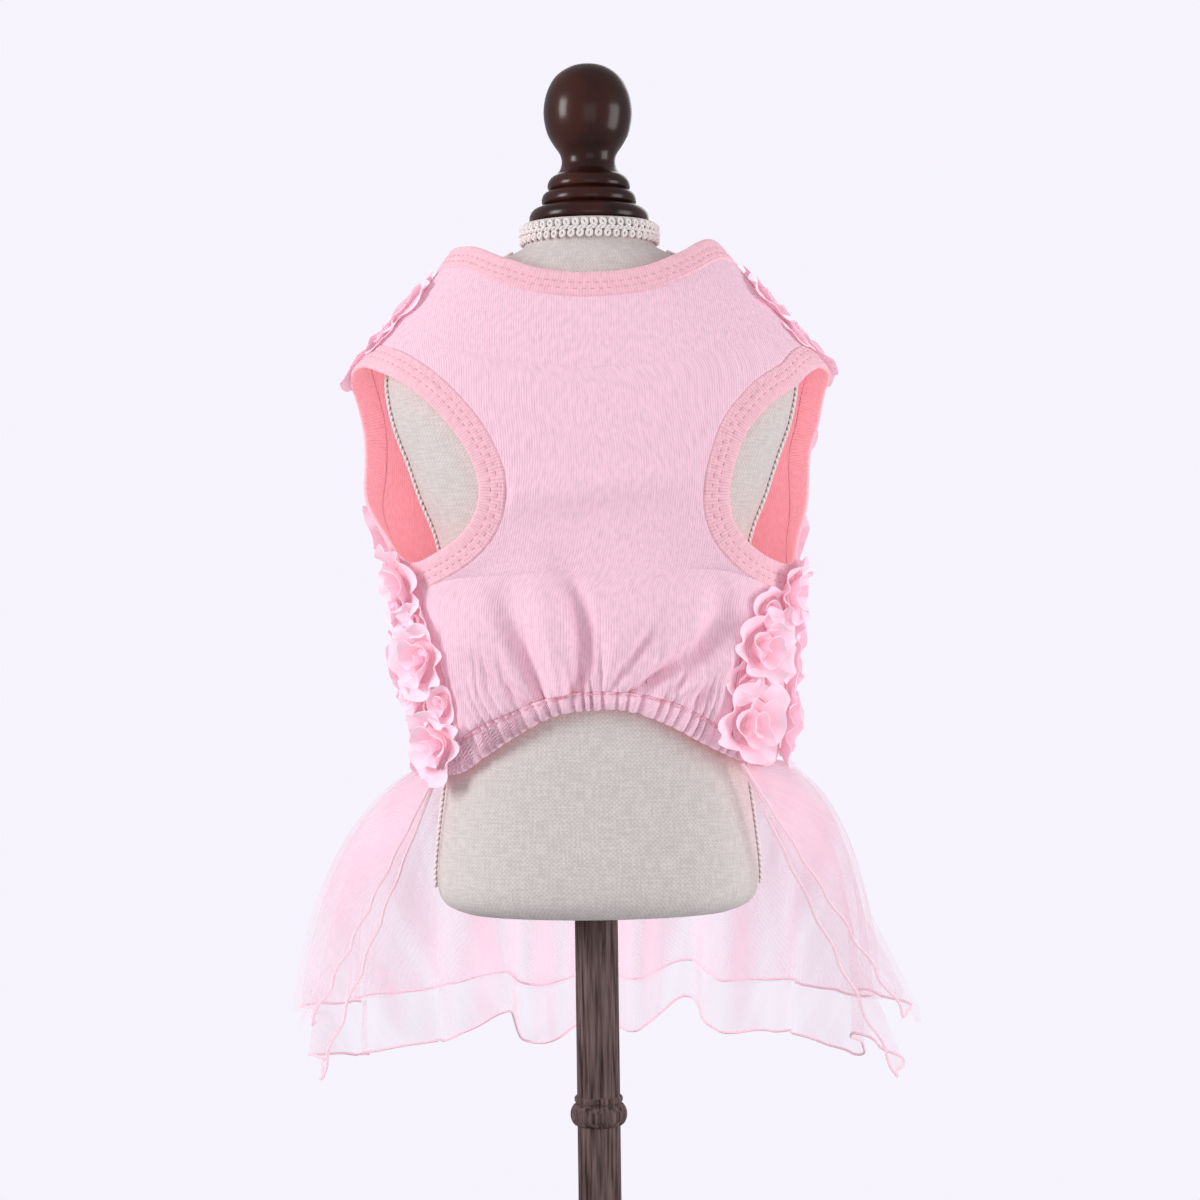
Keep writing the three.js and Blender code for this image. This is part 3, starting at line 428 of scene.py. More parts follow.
def tube(path, radius, sides, closed=False, normals=None):
    """A cord with a number of flat sides along a path of points."""
    ahead, behind = np.roll(path, -1, 0), np.roll(path, 1, 0)
    if not closed:
        ahead[-1], behind[0] = path[-1], path[0]
    run = unit(ahead - behind)
    if normals is None:
        normals = np.broadcast_to(ANY_WAY, path.shape)
    across = unit(np.cross(run, normals))
    out = np.cross(across, run)
    angle = circle(sides)
    around = across[:, None] * np.cos(angle)[:, None] + out[:, None] * np.sin(angle)[:, None]
    return ring_grid(path[:, None] + radius * around, closed)


def stamped(points, faces, centres, run, out):
    """Copies of a small mesh, one at each centre, with its x along run and its z along out."""
    out = unit(out)
    run = unit(run - out * np.sum(run * out, -1, keepdims=True))
    frames = np.stack([run, np.cross(out, run), out], 1)
    placed = np.einsum("pk,nkx->npx", points, frames) + centres[:, None]
    count = len(points)
    copies = [[i + count * n for i in face] for n in range(len(centres)) for face in faces]
    return placed.reshape(-1, 3), copies, np.zeros((count * len(centres), 2)), np.zeros(len(copies), int)


def outward(part):
    """The part with its faces looking out."""
    points, faces, uvs, materials = part
    corners = np.array([(face[0], face[1], face[2], face[-1]) for face in faces])
    a, b, c, d = (points[corners[:, k]] for k in range(4))
    inside_out = np.sum(a * np.cross(b, c)) + np.sum(a * np.cross(c, d)) < 0
    return points, [face[::-1] for face in faces] if inside_out else faces, uvs, materials


def corner_uvs(mesh, uvs, period):
    """UVs at the faces' corners; across the seam of a hoop they run on past its period."""
    corners = np.empty(len(mesh.loops), np.int32)
    mesh.loops.foreach_get("vertex_index", corners)
    uvs = uvs[corners]
    if period:
        starts, sizes = (np.empty(len(mesh.polygons), np.int32) for _ in range(2))
        mesh.polygons.foreach_get("loop_start", starts)
        mesh.polygons.foreach_get("loop_total", sizes)
        highest = np.repeat(np.maximum.reduceat(uvs[:, 0], starts), sizes)
        uvs[:, 0] += period * ((highest - uvs[:, 0] > period / 2) & (np.repeat(sizes, sizes) == 4))
    return uvs


def mesh_object(name, parts, materials, sharp=50, period=0.0):
    """One mesh object from parts in millimetres, smooth but for edges sharper than an angle."""
    points, faces, uvs, slots, first = [], [], [], [], 0
    for part in map(outward, parts):
        points.append(part[0])
        faces += [[i + first for i in face] for face in part[1]]
        uvs.append(part[2])
        slots.append(part[3])
        first += len(part[0])
    mesh = bpy.data.meshes.new(name)
    mesh.from_pydata((np.concatenate(points) * MM).tolist(), [], faces)
    layer = mesh.uv_layers.new(name="UVMap")
    layer.data.foreach_set("uv", corner_uvs(mesh, np.concatenate(uvs), period).astype(np.float32).ravel())
    for material in materials:
        mesh.materials.append(material)
    mesh.polygons.foreach_set("material_index", np.concatenate(slots).astype(np.int32))
    mesh.shade_smooth()
    mesh.set_sharp_from_angle(angle=math.radians(sharp))
    mesh.update()
    obj = bpy.data.objects.new(name, mesh)
    bpy.context.collection.objects.link(obj)
    return obj


def trim(name, parts, materials, sharp=50, period=0.0):
    """A piece of the object that rides on it as an addition."""
    obj = mesh_object(name, parts, materials, sharp, period)
    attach(obj, "root")
    return obj


def piece(name, parts, materials, sharp=50, period=0.0):
    """A piece of the object that stands for the CAD node of its name."""
    obj = trim(name, parts, materials, sharp, period)
    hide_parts(name)
    return obj


def revolve(profile, steps, shift=0):
    """A closed piece turned from an array of (radius, height)."""
    angle = circle(steps)
    grid = np.stack([
        shift + profile[:, :1] * np.cos(angle),
        profile[:, :1] * np.sin(angle),
        np.broadcast_to(profile[:, 1:], (len(profile), steps)),
    ], -1)
    return ring_grid(grid, False)


def lathe(runs, steps=LATHE_STEPS, shift=0):
    """A piece of turned wood from runs of (radius, height)."""
    profile = []
    for run in runs:
        count = 1 if len(run) == 2 else 4 * (len(run) - 1)
        profile.append(spline(run, False)(np.linspace(0, 1, count + 1))[1 if profile else 0:])
    profile = np.concatenate(profile)
    profile[:, 0] = np.maximum(profile[:, 0], AXIS_HOLE)
    return revolve(profile, steps, shift)


# ---------------------------------------------------------------- the dress's surface
dress_left, dress_right, dress_front, dress_back, dress_bulge = curves(DRESS)


def dress_point(place):
    turn, z = np.radians(place[..., 0]), place[..., 1]
    sine, cosine = np.sin(turn), np.cos(turn)
    behind = smoothstep(-cosine, -0.5, 0.2)
    side = np.where(sine < 0, dress_left(z), dress_right(z)) + dress_bulge(z) * behind
    depth = np.where(cosine > 0, dress_front(z), dress_back(z))
    return np.stack([side * sine, -depth * cosine, z], -1)


def dress_tangents(place):
    """Directions in the surface, per degree of turn and per millimetre of height."""
    small = 0.25
    by_turn = dress_point(place + [small, 0]) - dress_point(place - [small, 0])
    by_height = dress_point(place + [0, small]) - dress_point(place - [0, small])
    return by_turn / (2 * small), by_height / (2 * small)


def dress_normal(place):
    return unit(np.cross(*dress_tangents(place)))


def on_dress(place, lift):
    return dress_point(place) + dress_normal(place) * np.asarray(lift)[..., None]


def slide(place, move):
    """A place moved by a vector that lies in the surface."""
    by_turn, by_height = dress_tangents(place)
    aa, bb = np.sum(by_turn**2, -1), np.sum(by_height**2, -1)
    ab = np.sum(by_turn * by_height, -1)
    am, bm = np.sum(by_turn * move, -1), np.sum(by_height * move, -1)
    det = aa * bb - ab * ab
    return place + np.stack([(am * bb - bm * ab) / det, (bm * aa - am * ab) / det], -1)


def offset_edge(edge, distance, side):
    """An edge moved across itself on the surface; side 1 is its left as seen from outside."""
    hops, small = 4, 0.004

    def at(share):
        run = dress_point(edge(share + small)) - dress_point(edge(share - small))
        place = edge(share)
        for _ in range(hops):
            across = unit(np.cross(dress_normal(place), run))
            place = slide(place, across * side * distance / hops)
        return place

    return at


# ---------------------------------------------------------------- edges of the cut pieces
neckline_height, casing_top_height, hem_height, waist_height = (
    curves(rows)[0] for rows in (NECKLINE, CASING_TOP, HEM, WAIST)
)


def neckline(share):
    turn = np.mod(share, 1) * 360 - 180
    return np.stack([turn, neckline_height(turn)], -1)


NECK_SHARES = (np.arange(181) + 0.5) / 181
neck_seam = offset_edge(neckline, NECK_BAND_WIDTH + SEAM_GAP, -1)(NECK_SHARES)
neck_seam_curve = curve(neck_seam[:, 0], neck_seam[:, 1])


def neck_seam_height(turn):
    return neck_seam_curve(turn - 360 * np.round(turn / 360))


def along(places):
    """Places evenly spaced along a run of them, and the length of the run."""
    steps = np.linalg.norm(np.diff(dress_point(places), axis=0), axis=-1)
    lengths = np.r_[0, np.cumsum(steps)]

    def at(share):
        target = np.asarray(share) * lengths[-1]
        return np.stack([np.interp(target, lengths, places[:, k]) for k in (0, 1)], -1)

    return at, lengths[-1]


def armhole(points, side, seam_turn):
    """A leg opening's edge, and both ways round its seam from the side seam to the shoulder."""
    edge = spline(points, True)
    samples = 160
    places = offset_edge(edge, LEG_BAND_WIDTH + CORNER_GAP, side)(np.arange(samples) / samples)
    below = places[:, 1] < places[:, 1].mean()
    low = int(np.argmin(np.where(below, np.abs(places[:, 0] - seam_turn), np.inf)))
    high = int(np.argmax(places[:, 1]))
    one = places[np.arange(low, low + (high - low) % samples + 1) % samples]
    other = places[np.arange(low, low - (low - high) % samples - 1, -1) % samples]
    belly_is_one = np.abs(one[:, 0]).min() < np.abs(other[:, 0]).min()
    return (edge, one, other) if belly_is_one else (edge, other, one)


left_edge, left_belly, left_back = armhole(LEFT_ARMHOLE, 1, -SIDE_SEAM_TURN)
right_edge, right_belly, right_back = armhole(RIGHT_ARMHOLE, -1, SIDE_SEAM_TURN)


def seam_curve(rows, corner):
    z, turn = zip(*rows, (corner[1], corner[0]))
    return curve(z, turn)


left_seam = seam_curve(LEFT_SEAM, left_belly[0])
right_seam = seam_curve(RIGHT_SEAM, right_belly[0])


def seam_places(seam, low, high):
    z = np.linspace(low, high, 40)
    return np.stack([seam(z), z], -1)


def shoulder_places(top, shoulder_turn):
    share = np.linspace(0, 1, 25)
    turn = lerp(top[0], shoulder_turn, np.minimum(1, share * 2))
    return np.stack([turn, lerp(top[1], neck_seam_height(shoulder_turn), share)], -1)


def side_edge(places, inset):
    by_turn, _ = dress_tangents(places)
    shift = inset / np.linalg.norm(by_turn, axis=-1)
    return along(places + np.stack([shift, 0 * shift], -1))[0]


def panel_edge(rows, seam, low, way, shoulder_turn, inset):
    """A panel's side edge: up the side seam, round the armhole and along the shoulder seam."""
    stretches = (
        side_edge(seam_places(seam, low, way[0][1]), inset),
        side_edge(way, inset),
        side_edge(shoulder_places(way[-1], shoulder_turn), inset),
    )
    starts = np.cumsum((0, *rows))

    def at(share):
        row = np.asarray(share) * starts[-1]
        parts = [line((row - start) / count) for line, start, count in zip(stretches, starts, rows)]
        past_seam, past_armhole = (row > starts[1])[..., None], (row > starts[2])[..., None]
        return np.where(past_armhole, parts[2], np.where(past_seam, parts[1], parts[0]))

    return at


def panel_place(left, right, bottom, top):
    """A four-sided panel between two side edges, and a bottom and a top given as heights over turn."""
    low_left, low_right, high_left, high_right = left(0.0), right(0.0), left(1.0), right(1.0)

    def bend(height, a, b, u):
        return height(lerp(a[0], b[0], u)) - lerp(a[1], b[1], u)

    def at(u, v):
        place = lerp(left(v), right(v), u[..., None])
        low = bend(bottom, low_left, low_right, u) * (1 - v)
        high = bend(top, high_left, high_right, u) * v
        return place + np.stack([0 * u, low + high], -1)

    return at


def shares(columns, rows):
    """Shares u round and v up for a grid."""
    return np.meshgrid(np.linspace(0, 1, columns + 1), np.linspace(0, 1, rows + 1))


def lengths_over(points):
    """Lengths along each row from its first point, and up each column from its lowest."""
    across = np.linalg.norm(np.diff(points, axis=1), axis=-1)
    up = np.linalg.norm(np.diff(points, axis=0), axis=-1)
    u = np.concatenate([np.zeros((len(points), 1)), np.cumsum(across, 1)], 1)
    v = np.concatenate([np.zeros((1, points.shape[1])), np.cumsum(up, 0)], 0)
    return u, v


def cloth_uv(points):
    """Metres along the cloth from the middle of each row, and up each column."""
    u, v = lengths_over(points)
    return np.stack([u - u[:, points.shape[1] // 2][:, None], v], -1) * MM


def seam_roll(place):
    """How far a panel sinks beside its edges, where it is turned into its seams."""
    u, v = lengths_over(dress_point(place))
    nearest = np.minimum(np.minimum(u, u[:, -1:] - u), np.minimum(v, v[-1:] - v))
    return -SEAM_SINK * (1 - smoothstep(nearest, 0, SEAM_ROLL))


# ---------------------------------------------------------------- folds and gathers
def gather_foot(place):
    """The turn at which the gather through a place leaves the hem, square to it."""
    turn = place[..., 0]
    slope = (hem_height(turn + 2) - hem_height(turn - 2)) / 4
    return turn + GATHER_LEAN * slope * np.clip(place[..., 1] - hem_height(turn), 0, 28)


def gather_wave(foot):
    """The gathers' rise and fall along the hem: round crests and narrow troughs, uneven in size."""
    beat = np.pi * foot / GATHER_PITCH + 0.6 * np.sin(0.23 * foot) + 0.5 * np.sin(0.57 * foot + 1)
    height = 0.82 + 0.18 * np.sin(0.41 * foot + 2)
    return height * (2 * np.abs(np.sin(beat)) ** 0.8 - 1)


def belly_relief(place):
    """The soft folds that the elastic sets up in the belly panel."""
    x = dress_point(place)[..., 0]
    rise = place[..., 1] - casing_top_height(place[..., 0])
    relief = np.zeros_like(x)
    for start, middle, end, reach, width, depth in BELLY_FOLDS:
        t = np.clip(rise / reach, 0, 1)
        line = (1 - t) ** 2 * start + 2 * t * (1 - t) * middle + t * t * end
        across = bell(x, line, width * lerp(0.6, 1.4, t))
        relief -= depth * across * np.sin(np.pi * lerp(0.22, 1, t))
    return relief


def belly_gathers(place):
    """Short gathers that carry on from the casing and fade one by one."""
    foot = gather_foot(place)
    rise = np.maximum(place[..., 1] - casing_top_height(place[..., 0]), 0)
    reach = np.interp(foot, np.linspace(HEM["turn"][0], HEM["turn"][-1], len(GATHER_REACH)), GATHER_REACH)
    fine = GATHER_DEPTH * gather_wave(foot) * np.exp(-((rise / reach) ** 1.4))
    wide = np.cos(2 * np.pi * foot / (2.4 * GATHER_PITCH) + 1.1 * np.sin(0.3 * foot))
    return fine + 0.55 * wide * bell(rise, 0, 2 * reach) * smoothstep(rise, 0, 7)


def billow(place):
    """The cloth blouses out a little above the elastic."""
    rise = place[..., 1] - casing_top_height(place[..., 0])
    return BILLOW * bell(rise, *BILLOW_RISE)


def breast_line(place):
    """The shallow ledge where the cloth leaves the fullest part of the form."""
    height = place[..., 1] - BREAST_HEIGHT - 2.5 * np.sin(np.radians(place[..., 0] * 5))
    ledge = 2.2 * bell(height, 4, 8) - 0.5 * bell(height, -11, 7)
    return ledge * np.exp(-((place[..., 0] / 30) ** 4))


# ---------------------------------------------------------------- materials
class Look:
    """A material and the shader nodes it is built from; a node is known by its output."""

    def __init__(self, name, inputs):
        self.material = bpy.data.materials.new(name)
        self.material.use_nodes = True
        self.tree = self.material.node_tree
        self.shader = self.tree.nodes["Principled BSDF"]
        self.feed(self.shader, inputs)

    def feed(self, node, inputs):
        """Sets a node's inputs to values, or links them to the outputs of other nodes."""
        for key, value in inputs.items():
            if isinstance(value, bpy.types.NodeSocket):
                self.tree.links.new(value, node.inputs[key])
            else:
                node.inputs[key].default_value = value

    def add(self, kind, inputs, output=0, **settings):
        """A new node's output; inputs and the output go by name or number."""
        node = self.tree.nodes.new("ShaderNode" + kind)
        for key, value in settings.items():
            setattr(node, key, value)
        self.feed(node, inputs)
        return node.outputs[output]

    def math(self, operation, *values):
        return self.add("Math", dict(enumerate(values)), operation=operation)

    def coordinates(self, kind, scale, turn=0):
        """Texture coordinates, turned and scaled."""
        source = self.add("TexCoord", {}, kind)
        return self.add("Mapping", {"Vector": source, "Scale": scale, "Rotation": (0, 0, turn)})

    def noise(self, kind, stretch, scale, detail):
        vector = self.coordinates(kind, stretch)
        return self.add("TexNoise", {"Vector": vector, "Scale": scale, "Detail": detail}, "Fac")

    def threads(self, pitch, turn=0, distortion=0.0):
        """Bands across the cloth's width, or turned from it, pitch metres apart."""
        vector = self.coordinates("UV", (1, 1, 1), turn)
        scale = 2 * math.pi / (20 * pitch)
        inputs = {"Vector": vector, "Scale": scale, "Distortion": distortion, "Detail": 1}
        return self.add("TexWave", inputs, "Fac")

    def ramp(self, fac, *stops):
        """Colours at positions along a factor."""
        tone = self.add("ValToRGB", {"Fac": fac}, "Color")
        elements = tone.node.color_ramp.elements
        while len(elements) < len(stops):
            elements.new(0.5)
        for element, (position, colour) in zip(elements, stops):
            element.position = position
            element.color = (*colour, 1)
        return tone

    def paint(self, tone, painted_glow=0.0):
        """The cloth's own colour, and a painted glow: light emitted in that colour that lifts its shaded
        side, standing for the light that comes through the cloth.
        """
        self.feed(self.shader, {"Base Color": tone})
        if painted_glow:
            self.feed(self.shader, {"Emission Color": tone, "Emission Strength": painted_glow})

    def bump(self, height, distance):
        self.feed(self.shader, {"Normal": self.add("Bump", {"Height": height, "Distance": distance})})

    def mix(self, share, first, second):
        return self.add("MixShader", {0: share, 1: first, 2: second})

    def lit_through(self, tone, share):
        """The shader, with a share of light let through from behind in a colour."""
        through = self.add("BsdfTranslucent", {"Color": tone})
        return self.mix(share, self.shader.outputs[0], through)

    def surface(self, shader):
        self.feed(self.tree.nodes["Material Output"], {"Surface": shader})
        return self.material


def shades(colour, *stops):
    """Stops of a colour ramp from positions and shares of one colour."""
    return [(position, tuple(c * share for c in colour)) for position, share in stops]


def jersey_material(name, colour, depth=0.00012, painted_glow=0.0):
    """Knitted cotton: fine wales up the cloth, soft mottle, a little fuzz, and, when one is given, a painted
    glow that lifts its shade.
    """
    look = Look(name, {
        "Roughness": 0.85, "Sheen Weight": 0.25, "Sheen Roughness": 0.5, "Specular IOR Level": 0.25,
    })
    wales = look.threads(WALE_PITCH, 0, 0.6)
    courses = look.threads(WALE_PITCH * 0.7, math.pi / 2, 0.4)
    look.bump(look.math("MULTIPLY_ADD", courses, 0.35, wales), depth)
    mottle = look.noise("UV", (1, 0.5, 1), 500, 4)
    mixed = look.math("MULTIPLY_ADD", wales, 0.4, mottle)
    look.paint(look.ramp(mixed, *shades(colour, (0.35, 0.82), (0.7, 1), (1.0, 1.08))), painted_glow)
    return look.material


def chiffon_material(name, deep, middle, pale, painted_glow):
    """Rosette cloth with some light let through: painted shade deeper near the base of each petal, a painted
    highlight paler at its edge, and a painted glow.
    """
    look = Look(name, {
        "Roughness": 0.6, "Sheen Weight": 0.3, "Sheen Roughness": 0.4, "Specular IOR Level": 0.25,
    })
    height = look.add("SeparateXYZ", {0: look.add("TexCoord", {}, "UV")}, "Y")
    tone = look.ramp(height, (0.0, deep), (0.45, middle), (1.0, pale))
    look.paint(tone, painted_glow)
    return look.surface(look.lit_through(tone, 0.25))


def sheer_material(name, colour, cover, net=False):
    """Organza or net: sheer cloth that covers more where it is gathered at the waist and in its folds."""
    tone = (*colour, 1)
    look = Look(name, {"Roughness": 0.5, "Sheen Weight": 0.2, "Specular IOR Level": 0.2})
    look.paint(tone)
    streaks = look.noise("UV", (1, 0.1, 1), 42, 3)
    uneven = look.math("MULTIPLY_ADD", streaks, 3.6 * cover, -0.8 * cover)
    solid = look.math("MULTIPLY", uneven, look.add("Attribute", {}, "Fac", attribute_name=COVER))
    if net:
        one, two = (look.threads(NET_PITCH, turn) for turn in (math.pi / 4, -math.pi / 4))
        lines = look.math("POWER", look.math("MAXIMUM", one, two), 4)
        solid = look.math("MULTIPLY", solid, look.math("MULTIPLY_ADD", lines, 0.8, 0.6))
    seen = look.math("MINIMUM", solid, 0.85)
    return look.surface(look.mix(seen, look.add("BsdfTransparent", {}), look.lit_through(tone, 0.5)))


def plain_material(name, colour, roughness, sheen):
    return Look(name, {"Base Color": (*colour, 1), "Roughness": roughness, "Sheen Weight": sheen}).material


def linen_material(name, colour):
    """Plain-woven linen with uneven threads both ways."""
    look = Look(name, {"Roughness": 0.95, "Sheen Weight": 0.1, "Specular IOR Level": 0.15})
    weft, warp = (look.noise("UV", stretch, 700, 2) for stretch in ((0.16, 1.6, 1), (1.6, 0.16, 1)))
    over, under = (
        look.math("SUBTRACT", look.threads(LINEN_PITCH, turn, 0.5), 0.5) for turn in (0, math.pi / 2)
    )
    weave = look.math("MULTIPLY", over, under)
    both = look.math("MULTIPLY_ADD", weave, 0.9, look.math("ADD", weft, warp))
    half = look.math("MULTIPLY", both, 0.5)
    look.paint(look.ramp(half, *shades(colour, (0.42, 0.84), (0.58, 1), (0.74, 1.08))))
    look.bump(both, 0.0002)
    return look.material


def wood_material(name, dark, light, scale, roughness, coat):
    """Stained wood with grain that runs up the turning."""
    look = Look(name, {
        "Roughness": roughness, "Coat Weight": coat, "Coat Roughness": 0.2, "Specular IOR Level": 0.06,
    })
    grain = look.noise("Object", (1, 1, 0.05), scale, 5)
    look.paint(look.ramp(grain, (0.34, dark), (0.66, light)))
    look.bump(grain, 0.0002)
    return look.material


# The jersey carries a painted glow that lifts its shade. Its inside faces are painted a brighter, deeper
# pink with a stronger painted glow, for light shining through the cloth onto them.
JERSEY_LOOK = jersey_material("jersey", (0.81, 0.525, 0.625), painted_glow=0.12)
PAINTED_GLOW_INSIDE_LOOK = jersey_material("jersey_inside_painted_glow", (0.98, 0.42, 0.48), painted_glow=0.36)
BAND_LOOK = jersey_material("ribbing", (0.89, 0.51, 0.59), depth=0.00008)
BACK_LOOK = jersey_material("rosette_ground", (0.96, 0.56, 0.66))
# Chiffon: the deep pink is painted shade at the petals' bases, the pale pink is painted highlight at their
# edges, and 0.2 is a painted glow.
CHIFFON_LOOK = chiffon_material("chiffon", (0.92, 0.60, 0.69), (0.92, 0.68, 0.77), (0.92, 0.74, 0.82), 0.2)
ORGANZA_LOOK = sheer_material("organza", (0.94, 0.69, 0.79), 0.2)
NET_LOOK = sheer_material("net", (0.96, 0.75, 0.84), 0.15, net=True)
EDGE_LOOK = plain_material("rolled_edge", (0.97, 0.66, 0.74), 0.7, 0.3)
THREAD_LOOK = plain_material("thread", (0.80, 0.36, 0.45), 0.6, 0.3)
LINEN_LOOK = linen_material("linen", (0.65, 0.60, 0.58))
GIMP_LOOK = plain_material("gimp", (0.77, 0.73, 0.71), 0.8, 0.2)
DARK_WOOD_LOOK = wood_material("dark_wood", (0.010, 0.0022, 0.0016), (0.042, 0.010, 0.006), 60, 0.4, 0.4)
GREY_WOOD_LOOK = wood_material("grey_wood", (0.030, 0.018, 0.017), (0.17, 0.115, 0.11), 640, 0.7, 0.0)


# ---------------------------------------------------------------- the dress's pieces
def cloth(place, outer, inner):
    """A panel's cloth from its places and the lifts of its two faces."""
    return [shell(on_dress(place, outer), on_dress(place, inner), cloth_uv(dress_point(place)))]


def belly_panel():
    columns, rows = BELLY_GRID
    inset = SEAM_GAP / 2
    low_left, low_right = CASING_TOP["z"][0] + CASING_GAP, CASING_TOP["z"][-1] + CASING_GAP
    left = panel_edge(rows, left_seam, low_left, left_belly, -SHOULDER_TURN, inset)
    right = panel_edge(rows, right_seam, low_right, right_belly, SHOULDER_TURN, -inset)
    place_at = panel_place(left, right, lambda turn: casing_top_height(turn) + CASING_GAP, neck_seam_height)
    u, v = shares(columns, sum(rows))
    place = place_at(u, v)
    broad = belly_relief(place) + breast_line(place) + billow(place)
    lift = broad * smoothstep(from_edge(u), 0, FOLD_FADE) + belly_gathers(place) + seam_roll(place)
    parts = cloth(place, lift, lift - JERSEY)
    return piece("belly_panel", parts, [JERSEY_LOOK, PAINTED_GLOW_INSIDE_LOOK])


def back_place():
    """The back panel's place function, from the right side seam round to the left one."""
    rows = BACK_GRID[1]
    inset = SEAM_GAP / 2
    left = panel_edge(rows, left_seam, HEM["z"][0], left_back, -SHOULDER_TURN, -inset)
    right = panel_edge(
        rows, lambda z: right_seam(z) - 360, HEM["z"][-1], right_back - [360, 0], SHOULDER_TURN - 360, inset,
    )
    return panel_place(right, left, waist_height, neck_seam_height)


def back_panel(place_at):
    columns, rows = BACK_GRID
    u, v = shares(columns, sum(rows))
    place = place_at(u, v)
    slack = BACK_SLACK * np.sin(31 * u + 3 * np.sin(9 * v)) * np.sin(19 * v + 2 * np.sin(11 * u))
    lift = slack + seam_roll(place)
    parts = cloth(place, lift, lift - BACK_CLOTH)
    return piece("back_panel", parts, [BACK_LOOK, PAINTED_GLOW_INSIDE_LOOK])


def rosette_rows(place_at):
    """Rosettes row by row up the back, each row a list of (place, size), with fillers above each row."""

    def across(height):
        return along(place_at(np.linspace(0, 1, 81), np.full(81, height)))

    rise = place_at(np.array(0.5), np.array(1.0))[1] - place_at(np.array(0.5), np.array(0.0))[1]
    rows = int(math.floor(rise / ROSETTE_ROW + 0.5))
    result = []
    for j in range(rows):
        run, total = across((j + 0.5) / rows)
        count = max(1, int(math.floor(total / ROSETTE_PITCH - (j % 2) / 2 + 0.5)))
        row = [(run(along_row(k, count)), ROSETTE_SIZE) for k in range(count)]
        if j < rows - 1:
            run, total = across((j + 1) / rows)
            row += [(run((k + FILLER_AT) / count), FILLER_SIZE) for k in range(1, count)]
            row += [(run((k + SMALL_FILLER_AT) / count), SMALL_FILLER_SIZE) for k in range(1, count - 1)]
            inset = EDGE_FILLER_INSET / total
            row += [(run(inset), EDGE_FILLER_SIZE), (run(1 - inset), EDGE_FILLER_SIZE)]
        result.append(row)
    return result


def along_row(k, count):
    """A row's rosettes are evenly spaced, but the end ones lie out over the seams."""
    ends = {0: ROSETTE_END, count - 1: 1 - ROSETTE_END}
    return (k + ends.get(k, 0.5)) / count


def ribbon(size, spin, flat, rng):
    """A rosette's ruffled ribbon, wound inward: a grid of (across, up, out) round its middle.

    Its steps turn less outside than inside, so that they are about as long.
    """
    turns = RIBBON_TURNS * (1 if size > FILLER_SIZE else FILLER_TURNS)
    steps = int(turns * RIBBON_STEPS)
    share = np.linspace(0, 1, steps + 1)[:, None]
    t = (1 - np.sqrt(1 - (1 - RIBBON_TAPER**2) * share)) / (1 - RIBBON_TAPER)
    w = np.linspace(0, 1, RIBBON_COLUMNS + 1)[None]
    angle = spin + 2 * np.pi * turns * t
    base = size * lerp(*RIBBON_FOOT, t**0.85) * (1 + 0.08 * np.sin(3 * angle + rng.uniform(0, 6)))
    width = size * lerp(*RIBBON_WIDTH, t)
    lean = lerp(*RIBBON_LEAN, t**0.75)
    rim = base + width * np.sin(lean)
    run = np.cumsum(rim * np.gradient(angle, axis=0), 0)
    phase = run * 2 * np.pi / RUFFLE_WAVE + rng.uniform(0, 6)
    phase = phase + 0.9 * np.sin(0.37 * phase + rng.uniform(0, 6))
    width = width * (1 + 0.16 * np.sin(0.5 * phase + rng.uniform(0, 6)))
    petals = 2 * np.sqrt(np.sin(phase / 2) ** 2 + 0.03) - 1.1
    ruffle = lerp(*RUFFLE_HEIGHT, t) * size * w**1.3 * petals
    curl = 0.6 * w**3 * np.sin(phase * 0.5 + 1)
    radius = base + width * w * np.sin(lean) + ruffle * np.cos(lean) + curl
    out = 0.6 + width * w * np.cos(lean) - ruffle * np.sin(lean) * 0.8
    angle = angle + 0.04 * w * np.sin(phase * 0.73)
    grid = np.stack([radius * np.cos(angle), radius * np.sin(angle), np.maximum(out * flat, 0.45)], -1)
    return grid, np.stack(np.broadcast_arrays(t, w), -1)


def conform(middle, local):
    """A grid of (across, up, out) round a place, laid on the dress."""
    by_turn, _ = dress_tangents(middle)
    across, out = unit(by_turn), dress_normal(middle)
    up = np.cross(out, across)
    half = (local[..., :1] * across + local[..., 1:2] * up) / 2
    place = slide(slide(np.broadcast_to(middle, local.shape[:-1] + (2,)), half), half)
    return on_dress(place, local[..., 2])


def thicken(grid, half):
    """Two faces, half to each side of a grid."""
    normal = unit(np.cross(np.gradient(grid, axis=1), np.gradient(grid, axis=0)))
    return grid + half * normal, grid - half * normal


def rosettes(place_at):
    rng = np.random.default_rng(7)
    made, count = [], 0
    for j, row in enumerate(rosette_rows(place_at)):
        parts = []
        for middle, size in row:
            flat = lerp(1, 0.45, smoothstep(middle[1], 495, 535))
            local, uv = ribbon(size, ROSETTE_SPIN * count, flat, rng)
            parts.append(shell(*thicken(conform(middle, local), CHIFFON), uv))
            count += 1
        made.append(trim(f"rosettes_{j + 1}", parts, [CHIFFON_LOOK, CHIFFON_LOOK]))
    return made


# Across a leg band from the opening's edge to the seam and back inside: distance and lift. The neck
# band's section is narrower in proportion.
BAND_SECTION = (
    (0, -0.7), (0.12, -0.15), (0.5, 0.3), (1.2, 0.55), (2.4, 0.66), (4, 0.64), (5.3, 0.62), (6.1, 0.62),
    (6.9, 0.62), (7.9, 0.66), (8.8, 0.62), (9.6, 0.62), (10.4, 0.62), (11.3, 0.6), (12, 0.34),
    (12.5, 0.62), (12.95, 0.5), (13.5, 0.1), (13.9, -0.4),
    (13.6, -1.5), (13, -1.9), (9, -2), (5, -2), (1.2, -1.9), (0.3, -1.4),
)


